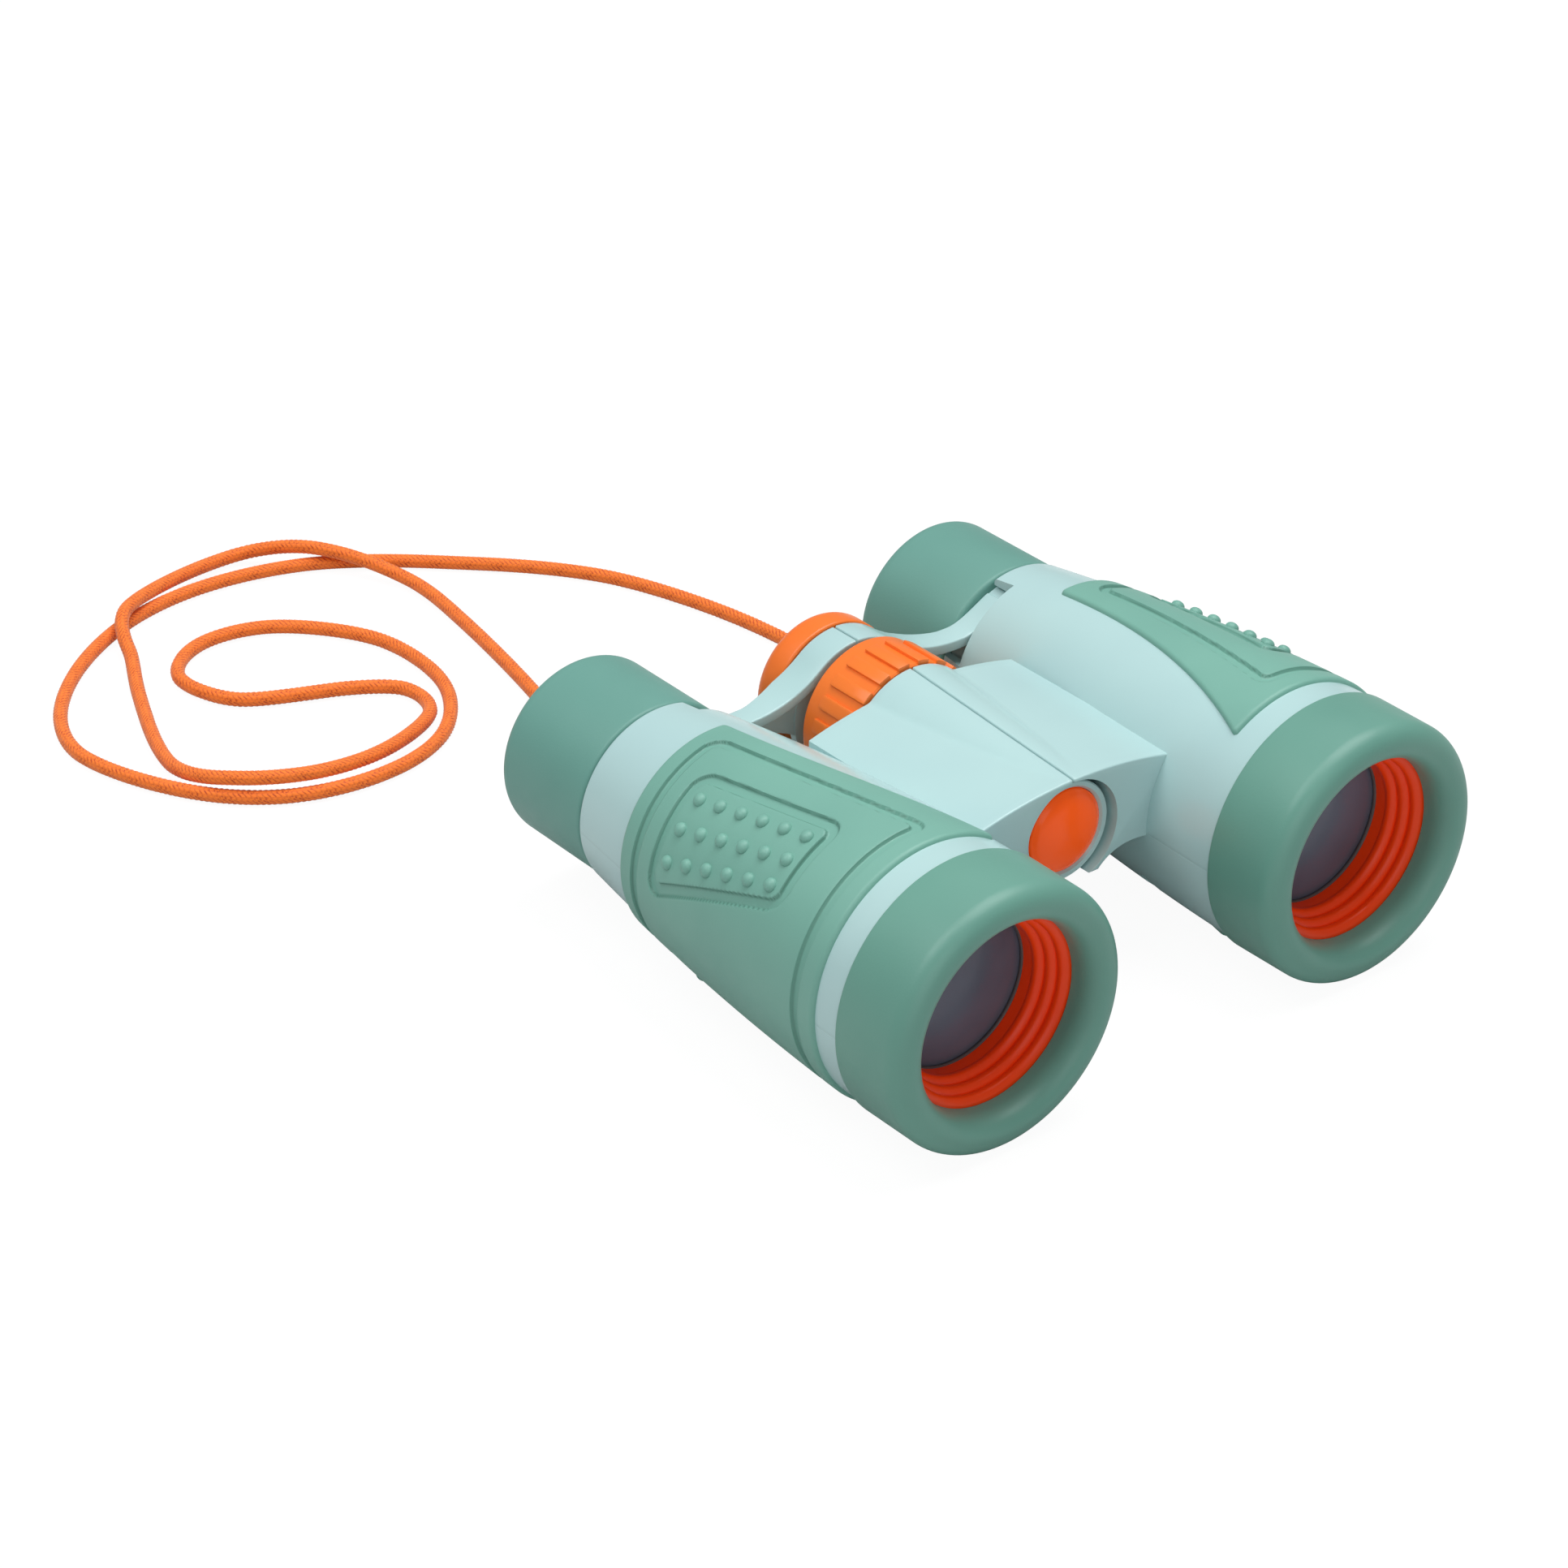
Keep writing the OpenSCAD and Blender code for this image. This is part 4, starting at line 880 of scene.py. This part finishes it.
# %% Painted shade on the groove walls of the grip
def paint_groove_shade(material):
    """Painted shade darkens the grip's colour on the steep walls of the grooves, which the mesh marks
    with an attribute
    """
    nodes, links = material.node_tree.nodes, material.node_tree.links
    shader = nodes["Principled BSDF"]
    clean = shader.inputs["Base Color"].links[0].from_socket
    painted_shade_mask = nodes.new("ShaderNodeAttribute")
    painted_shade_mask.attribute_name = "painted_groove_shade"
    shade = nodes.new("ShaderNodeMix")
    shade.data_type, shade.blend_type = "RGBA", "MULTIPLY"
    # painted shade: on the groove walls the grip's colour is multiplied by this darker green
    shade.inputs["B"].default_value = (0.45, 0.55, 0.52, 1.0)
    links.new(painted_shade_mask.outputs["Fac"], shade.inputs["Factor"])
    links.new(clean, shade.inputs["A"])
    links.new(shade.outputs["Result"], shader.inputs["Base Color"])


paint_groove_shade(sage_grip)
print("groove walls shaded")


# %% Grip pieces with dots
dot_r, dot_h, dot_sink = 1.15, 0.85, 0.5
dot_columns, dot_rows, dot_step_y, dot_step_w = 6, 3, 4.6, 4.9
grip_corner, skirt_depth = 1.2, 0.7


def grip_dot(y, angle):
    bm = turned([(0, -dot_sink), (dot_r, -dot_sink)] + round_line((0, 0), dot_r, dot_h, 0, 90, 5),
                x=0, z=0, steps=16, closed=False)
    place = (
        Matrix.Rotation(angle, 4, "Y") @ Matrix.Translation((0, y, shell_r(y) + grip_rise))
        @ Matrix.Rotation(math.pi / 2, 4, "X")
    )
    bmesh.ops.transform(bm, matrix=place, verts=bm.verts)
    return bm


def grip_sheet(around=300, along=300):
    bm = bmesh.new()
    # this layer is the painted shade mask of the groove walls
    wall = bm.verts.layers.float.new("painted_groove_shade")
    bmesh.ops.create_grid(bm, x_segments=around, y_segments=along, size=0.5)
    length = grip_front_y - grip_rear_y
    for vert in bm.verts:
        u, v = vert.co.x + 0.5, vert.co.y + 0.5
        y = grip_rear_y + length * v
        start = edge_angle(grip_edge, y)
        angle = start + (math.pi - 2 * start) * u
        from_side = (math.pi - 2 * start) * min(u, 1 - u) * shell_r(y)
        rim = round_corner(from_side, min(y - grip_rear_y, grip_front_y - y), grip_corner)
        sunk = grip_sunk(y, angle)
        # painted shade share, highest halfway down each groove wall
        vert[wall] = 4 * sunk * (1 - sunk)
        r = shell_r(y) + grip_height(sunk, max(0.0, rim))
        vert.co = (r * math.sin(angle), y, r * math.cos(angle))
    border = [edge for edge in bm.edges if edge.is_boundary]
    skirt = bmesh.ops.extrude_edge_only(bm, edges=border)["geom"]
    for vert in (item for item in skirt if isinstance(item, bmesh.types.BMVert)):
        shrink = 1 - skirt_depth / math.hypot(vert.co.x, vert.co.z)
        vert.co = (vert.co.x * shrink, vert.co.y, vert.co.z * shrink)
    ends = [
        edge for edge in bm.edges if edge.is_boundary
        and any(all(abs(v.co.y - y) < 0.001 for v in edge.verts) for y in (grip_front_y, grip_rear_y))
    ]
    bmesh.ops.bridge_loops(bm, edges=ends)
    bmesh.ops.holes_fill(bm, edges=[edge for edge in bm.edges if edge.is_boundary], sides=0)
    bmesh.ops.recalc_face_normals(bm, faces=bm.faces)
    return bm


def grip(side):
    dots = []
    for i in range(dot_columns):
        for j in range(dot_rows):
            u, v = (i - (dot_columns - 1) / 2) * dot_step_y, (j - (dot_rows - 1) / 2) * dot_step_w
            y = panel_y + u
            reach = v * fan_share(u) - panel_lean * u
            lean = math.asin(reach / (shell_r(y) + grip_rise))
            dots += [grip_dot(y, panel_turn + lean), grip_dot(y, math.pi - low_panel_turn - lean)]
    bm = joined(grip_sheet(), *dots)
    bmesh.ops.translate(bm, vec=(barrel_x, 0, barrel_z), verts=bm.verts)
    return bm


make_pair("soft_grip", grip, sage_grip, "barrel", "grip", 50)

# %% [markdown]
# ## Eyepieces
# A mint tube slides in the rear of each barrel. It carries a small lens and a soft eyecup with a
# rounded rim. Cylinders with bevels would do, but the cup's rim rolls inwards, so all three are
# turned profiles.

# %% Tubes, small lenses and eyecups
tube_profile = [
    (13, -13.3), (13, -47.1), (9.6, -47.1), (9.6, -43.9), (8.3, -43.9),
    (8.3, -42.7), (11.8, -41.5), (11.8, -13.3),
]
cup_profile = (
    [(13, -31.9)]
    + round_line((14.9, -32.7), 0.8, 0.8, 90, 0, 5)
    + round_line((13.3, -51.2), 2.4, 2.4, 0, -90, 12)
    + round_line((13.3, -53.0), 0.6, 0.6, -90, -180, 6)
    + [(12.7, -47.1), (13, -47.1)]
)
eye_lens_profile = lens_profile(9.5, 8.3, 2.0, 0.9, -43.9)
make_pair("sliding_tube", lambda side: turned(tube_profile), mint_plastic, "ocular",
          "eyepiece_tube")
make_pair("eye_lens", lambda side: turned(eye_lens_profile, closed=False), dark_lens, "ocular",
          "ocular_lens")
make_pair("soft_eyecup", lambda side: turned(cup_profile), sage_cup, "ocular", "eyecup")

# %% [markdown]
# ## Rear arms
# An arm on each side joins the focus spindle to an eyepiece: a band that arches over the spindle,
# dips and rises to a collar, like a gull's wing, with a thin wall under it. The dip is two smooth
# curves, each given by its ends and the slopes there. The band is drawn as pairs of points above
# and below, joined to a strip of faces, and the strip is extruded and bevelled.

# %% Lines of the band
arm_dome_r, arm_t, arm_leave = 12.0, 1.9, 52
arm_low, arm_end, arm_end_slope = (22.5, 4.7), (31.5, 8.3), 0.45


def sweep(start, start_slope, end, end_slope, steps):
    """Points of a smooth curve from start to end that keeps both slopes"""
    width, points = end[0] - start[0], []
    for i in range(1, steps + 1):
        t = i / steps
        blend = t * t * (3 - 2 * t)
        lean = t * (1 - t) * ((1 - t) * start_slope - t * end_slope) * width
        points.append((start[0] + width * t, start[1] + (end[1] - start[1]) * blend + lean))
    return points


def arm_lines():
    """Upper and lower line of the band, the lower one arm_t inside the upper one"""
    over = round_line((0, 0), arm_dome_r, arm_dome_r, 90, arm_leave, 14)
    leave_slope = -1 / math.tan(math.radians(arm_leave))
    over += sweep(over[-1], leave_slope, arm_low, 0, 14)
    over += sweep(arm_low, 0, arm_end, arm_end_slope, 12)
    under = []
    for i, (x, z) in enumerate(over):
        before, after = over[max(i - 1, 0)], over[min(i + 1, len(over) - 1)]
        along = Vector((after[0] - before[0], after[1] - before[1])).normalized()
        under.append((x + arm_t * along.y, z - arm_t * along.x))
    over[0], under[0] = (ridge_gap, arm_dome_r), (ridge_gap, arm_dome_r - arm_t)
    return over, under


print("the band leaves the dome at", [round(value, 1) for value in arm_lines()[0][14]])

# %% Wall and plate of an arm
web_start_x, web_top_x, web_foot_x = 6.0, 26.2, 24.9
web_low_z, web_foot_z, web_flat_share = -7.0, 0.4, 0.72
eye_r, disc_gap = 4.4, 2


def band_solid(upper, lower, front, rear):
    """Closed solid between two lines of points, from one station to another"""
    bm = bmesh.new()
    rows = [[bm.verts.new((x, front, hinge_z + z)) for x, z in line] for line in (upper, lower)]
    strip = [
        bm.faces.new((rows[0][i], rows[0][i + 1], rows[1][i + 1], rows[1][i]))
        for i in range(len(upper) - 1)
    ]
    out = bmesh.ops.extrude_face_region(bm, geom=strip, use_keep_orig=True)["geom"]
    bmesh.ops.translate(bm, vec=(0, rear - front, 0),
                        verts=[item for item in out if isinstance(item, bmesh.types.BMVert)])
    bmesh.ops.recalc_face_normals(bm, faces=bm.faces)
    return bm


def arm_web(front, rear):
    """Thin wall under the band, from the plate behind the wheel to the collar"""
    top = [point for point in arm_lines()[1] if web_start_x < point[0] < web_top_x]
    shares = [(x - web_start_x) / (web_top_x - web_start_x) for x, _ in top]
    foot = [
        (web_start_x + (web_foot_x - web_start_x) * share,
         web_foot_z - (web_foot_z - web_low_z) * (1 - min(share / web_flat_share, 1)) ** 2)
        for share in shares
    ]
    return band_solid(top, foot, front, rear)


def half_disc(radius, front, rear):
    """Plate behind the dome of an arm, from straight above to straight below"""
    bm = bmesh.new()
    corners = [(eye_r, front), (radius, front), (radius, rear), (eye_r, rear)]
    face = bm.faces.new([bm.verts.new((0, y, r)) for r, y in corners])
    bmesh.ops.spin(bm, geom=[face] + face.edges[:] + face.verts[:], cent=(0, 0, 0), axis=(0, 1, 0),
                   angle=math.radians(180 - 2 * disc_gap), steps=48)
    bmesh.ops.recalc_face_normals(bm, faces=bm.faces)
    tilt = Matrix.Rotation(math.radians(disc_gap), 3, "Y")
    bmesh.ops.rotate(bm, cent=(0, 0, 0), matrix=tilt, verts=bm.verts)
    bmesh.ops.translate(bm, vec=(0, 0, hinge_z), verts=bm.verts)
    return bm


print("wall under the band ends", web_foot_x, "mm from the hinge")

# %% Gull wing arms
arm_front_y, arm_rear_y, cup_side_y = -27.4, -33.5, -31.9
narrow_start_x, narrow_width = 13, 7
disc_r, web_inset = 11.9, 0.1
collar_profile = [
    (13, -27.4), (13.9, -27.4), (14.2, -27.7), (14.2, -31.6), (13.9, -31.9), (13, -31.9),
]


def sharp_edges(bm):
    return [edge for edge in bm.edges if edge.is_manifold and edge.calc_face_angle() > 0.9]


def arm(side):
    """The right arm's eye and plate lie in front of the left one's on the spindle"""
    bm = band_solid(*arm_lines(), arm_front_y, arm_rear_y)
    for vert in bm.verts:
        if vert.co.y < arm_front_y - 1:
            share = min(max((vert.co.x - narrow_start_x) / narrow_width, 0), 1)
            vert.co.y += (cup_side_y - arm_rear_y) * share
    bmesh.ops.recalc_face_normals(bm, faces=bm.faces)
    bevel_edges(bm, sharp_edges(bm), 0.3)
    front, rear = (-27.4, -30.2) if side > 0 else (-30.5, -33.5)
    web_front, web_rear = (-28.8, -30.2) if side > 0 else (-31.0, -32.4)
    eye = turned(
        [(2.42, front), (eye_r, front), (eye_r + 0.2, front - 0.2), (eye_r + 0.2, rear), (2.42, rear)],
        x=0, z=hinge_z, steps=64,
    )
    disc, web = half_disc(disc_r, web_front, rear), arm_web(web_front - web_inset, web_rear + web_inset)
    return joined(bm, turned(collar_profile), eye, disc, web)


make_pair("gull_arm", arm, mint_plastic, "ocular", "rear_arm")

# %% [markdown]
# ## Focus wheel and caps
# The wheel has twenty flat ribs that stop short of a plain rim. A ribbed outline could be extruded,
# but then the ribs would run out over the rim, so each rib is a small sector spun on the wheel's
# surface and bevelled. The front button and the rear cap are shallow domes.

# %% Ribbed wheel
wheel_r, wheel_bore_r, journal_r, wheel_edge = 12.8, 2.45, 5, 0.3
wheel_front_y, wheel_rear_y, journal_front_y = -14.5, -25.9, -7.9
ribs, rib_h, rib_sink, rib_share, rib_end_y = 20, 0.55, 0.4, 0.56, -22.9


def wheel_rib(turn):
    bm = bmesh.new()
    width = 2 * math.pi / ribs * rib_share
    corners = [
        (wheel_r - rib_sink, wheel_front_y), (wheel_r + rib_h, wheel_front_y),
        (wheel_r + rib_h, rib_end_y), (wheel_r - rib_sink, rib_end_y),
    ]
    face = bm.faces.new([bm.verts.new((r, y, 0)) for r, y in corners])
    bmesh.ops.spin(bm, geom=[face] + face.edges[:] + face.verts[:], cent=(0, 0, 0), axis=(0, 1, 0),
                   angle=width, steps=4)
    bmesh.ops.remove_doubles(bm, verts=bm.verts, dist=0.0005)
    bmesh.ops.recalc_face_normals(bm, faces=bm.faces)
    bevel_edges(bm, sharp_edges(bm), 0.14, 2)
    bmesh.ops.rotate(bm, cent=(0, 0, 0), matrix=Matrix.Rotation(turn, 3, "Y"), verts=bm.verts)
    bmesh.ops.translate(bm, vec=(0, 0, hinge_z), verts=bm.verts)
    return bm


wheel_body = turned(
    [(wheel_bore_r, journal_front_y), (journal_r, journal_front_y), (journal_r, wheel_front_y)]
    + [(wheel_r - wheel_edge, wheel_front_y), (wheel_r, wheel_front_y - wheel_edge)]
    + round_line((wheel_r - 0.6, wheel_rear_y + 0.6), 0.6, 0.6, 0, -90, 6)
    + [(wheel_bore_r, wheel_rear_y)],
    x=0, z=hinge_z,
)
make_piece("ribbed_focus_wheel",
           joined(wheel_body, *(wheel_rib(2 * math.pi * i / ribs) for i in range(ribs))),
           orange_plastic, "focus_drive", ["focus_wheel"])

# %% Front button and rear cap
button = turned(
    [(0, 20.4), (7.1, 20.4)] + round_line((6.75, 22.75), 0.35, 0.35, 0, 60, 4)
    + round_line((0, 22.7), 6.9, 1.95, 14, 90, 14),
    x=0, z=hinge_z, closed=False,
)
make_piece("front_button", button, button_plastic, "right_barrel", ["front_cap"])
rear_dome = turned(
    [(0, -33.8)] + round_line((11.7, -34.3), 0.5, 0.5, 90, 0, 5)
    + round_line((8.8, -37.0), 3.4, 3.0, 0, -75, 12)
    + round_line((0, -37.2), 9.6, 3.2, -60, -90, 8)[1:],
    x=0, z=hinge_z, closed=False,
)
make_piece("rear_dome_cap", rear_dome, orange_plastic, "right_ocular", ["rear_cap"])


# %% [markdown]
# ## Small metal parts
# Screws, pin, clip and spindle are hardly seen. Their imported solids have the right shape, so they
# stay and only get a brushed steel finish.

# %% Steel finish
def brushed_steel():
    material, nodes, links = new_material("brushed_steel")
    shader = nodes["Principled BSDF"]
    shader.inputs["Metallic"].default_value = 1.0
    place, stretch = nodes.new("ShaderNodeTexCoord"), nodes.new("ShaderNodeMapping")
    stretch.inputs["Scale"].default_value = (900.0, 60.0, 900.0)
    brush = nodes.new("ShaderNodeTexNoise")
    brush.inputs["Scale"].default_value = 3.0
    links.new(place.outputs["Object"], stretch.inputs["Vector"])
    links.new(stretch.outputs["Vector"], brush.inputs["Vector"])
    tone = nodes.new("ShaderNodeValToRGB")
    tone.color_ramp.elements[0].color = linear(150, 152, 155)
    tone.color_ramp.elements[1].color = linear(196, 198, 200)
    links.new(brush.outputs["Fac"], tone.inputs["Fac"])
    links.new(tone.outputs["Color"], shader.inputs["Base Color"])
    rough = nodes.new("ShaderNodeMapRange")
    rough.inputs["To Min"].default_value, rough.inputs["To Max"].default_value = 0.25, 0.45
    links.new(brush.outputs["Fac"], rough.inputs["Value"])
    links.new(rough.outputs["Result"], shader.inputs["Roughness"])
    return material


steel = brushed_steel()
for name in ("right_shell_screws", "left_shell_screws", "hinge_pin", "wheel_clip", "focus_spindle"):
    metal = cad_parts[name].data
    metal.materials.clear()
    metal.materials.append(steel)
print("steel on the small parts")

# %% [markdown]
# ## Floor and light
# The photograph has a white background and soft light, most of it from above.
# A picture of a studio could light the scene, but three large soft lamps and an even sky do it with
# nothing to load, at a level at which a colour renders about as it is written. The floor is white
# to the camera and still takes the object's shadow.

# %% White floor
def white_floor():
    material, nodes, links = new_material("white_floor")
    nodes.remove(nodes["Principled BSDF"])
    kinds = "BsdfDiffuse", "Emission", "MixShader"
    matt, glow, blend = (nodes.new("ShaderNode" + kind) for kind in kinds)
    matt.inputs["Color"].default_value = (0.6, 0.6, 0.6, 1.0)
    glow.inputs["Strength"].default_value = 1.1
    path = nodes.new("ShaderNodeLightPath")
    share = nodes.new("ShaderNodeMath")
    share.operation = "MULTIPLY"
    share.inputs[1].default_value = 0.86
    links.new(path.outputs["Is Camera Ray"], share.inputs[0])
    links.new(share.outputs["Value"], blend.inputs["Fac"])
    links.new(matt.outputs["BSDF"], blend.inputs[1])
    links.new(glow.outputs["Emission"], blend.inputs[2])
    links.new(blend.outputs["Shader"], nodes["Material Output"].inputs["Surface"])
    return material


floor_bm = bmesh.new()
bmesh.ops.create_grid(floor_bm, x_segments=2, y_segments=2, size=6.0)
floor_mesh = bpy.data.meshes.new("floor")
floor_bm.to_mesh(floor_mesh)
floor_bm.free()
floor_mesh.materials.append(white_floor())
floor = bpy.data.objects.new("floor", floor_mesh)
floor.location = (0, 0, cad_box[0][2] - 0.0002)
bpy.context.scene.collection.objects.link(floor)
print("floor at", round(1000 * floor.location.z, 1), "mm")


# %% Lamps and sky
def soft_lamp(name, place, size, power):
    lamp = bpy.data.lights.new(name, "AREA")
    lamp.shape, lamp.size, lamp.energy = "DISK", size, power
    holder = bpy.data.objects.new(name, lamp)
    way = Vector((0, 0, 0.02)) - Vector(place)
    turn = way.to_track_quat("-Z", "Y").to_matrix().to_4x4()
    holder.matrix_world = Matrix.Translation(place) @ turn
    bpy.context.scene.collection.objects.link(holder)


soft_lamp("key_lamp", (0.5, -0.2, 0.95), 0.7, 4.2)
soft_lamp("top_lamp", (-0.35, 0.0, 1.2), 1.0, 11.3)
soft_lamp("front_fill", (0.5, 0.95, 0.45), 0.9, 2.2)
sky = bpy.data.worlds.new("studio")
bpy.context.scene.world = sky
sky.use_nodes = True
backdrop = sky.node_tree.nodes["Background"]
backdrop.inputs["Color"].default_value = (1.0, 1.0, 1.0, 1.0)
sky_path = sky.node_tree.nodes.new("ShaderNodeLightPath")
sky_level = sky.node_tree.nodes.new("ShaderNodeMapRange")
sky_level.inputs["To Min"].default_value, sky_level.inputs["To Max"].default_value = 0.26, 1.0
sky.node_tree.links.new(sky_path.outputs["Is Camera Ray"], sky_level.inputs["Value"])
sky.node_tree.links.new(sky_level.outputs["Result"], backdrop.inputs["Strength"])
bpy.context.scene.view_settings.view_transform = "Standard"
print("floor, lamps and sky ready")
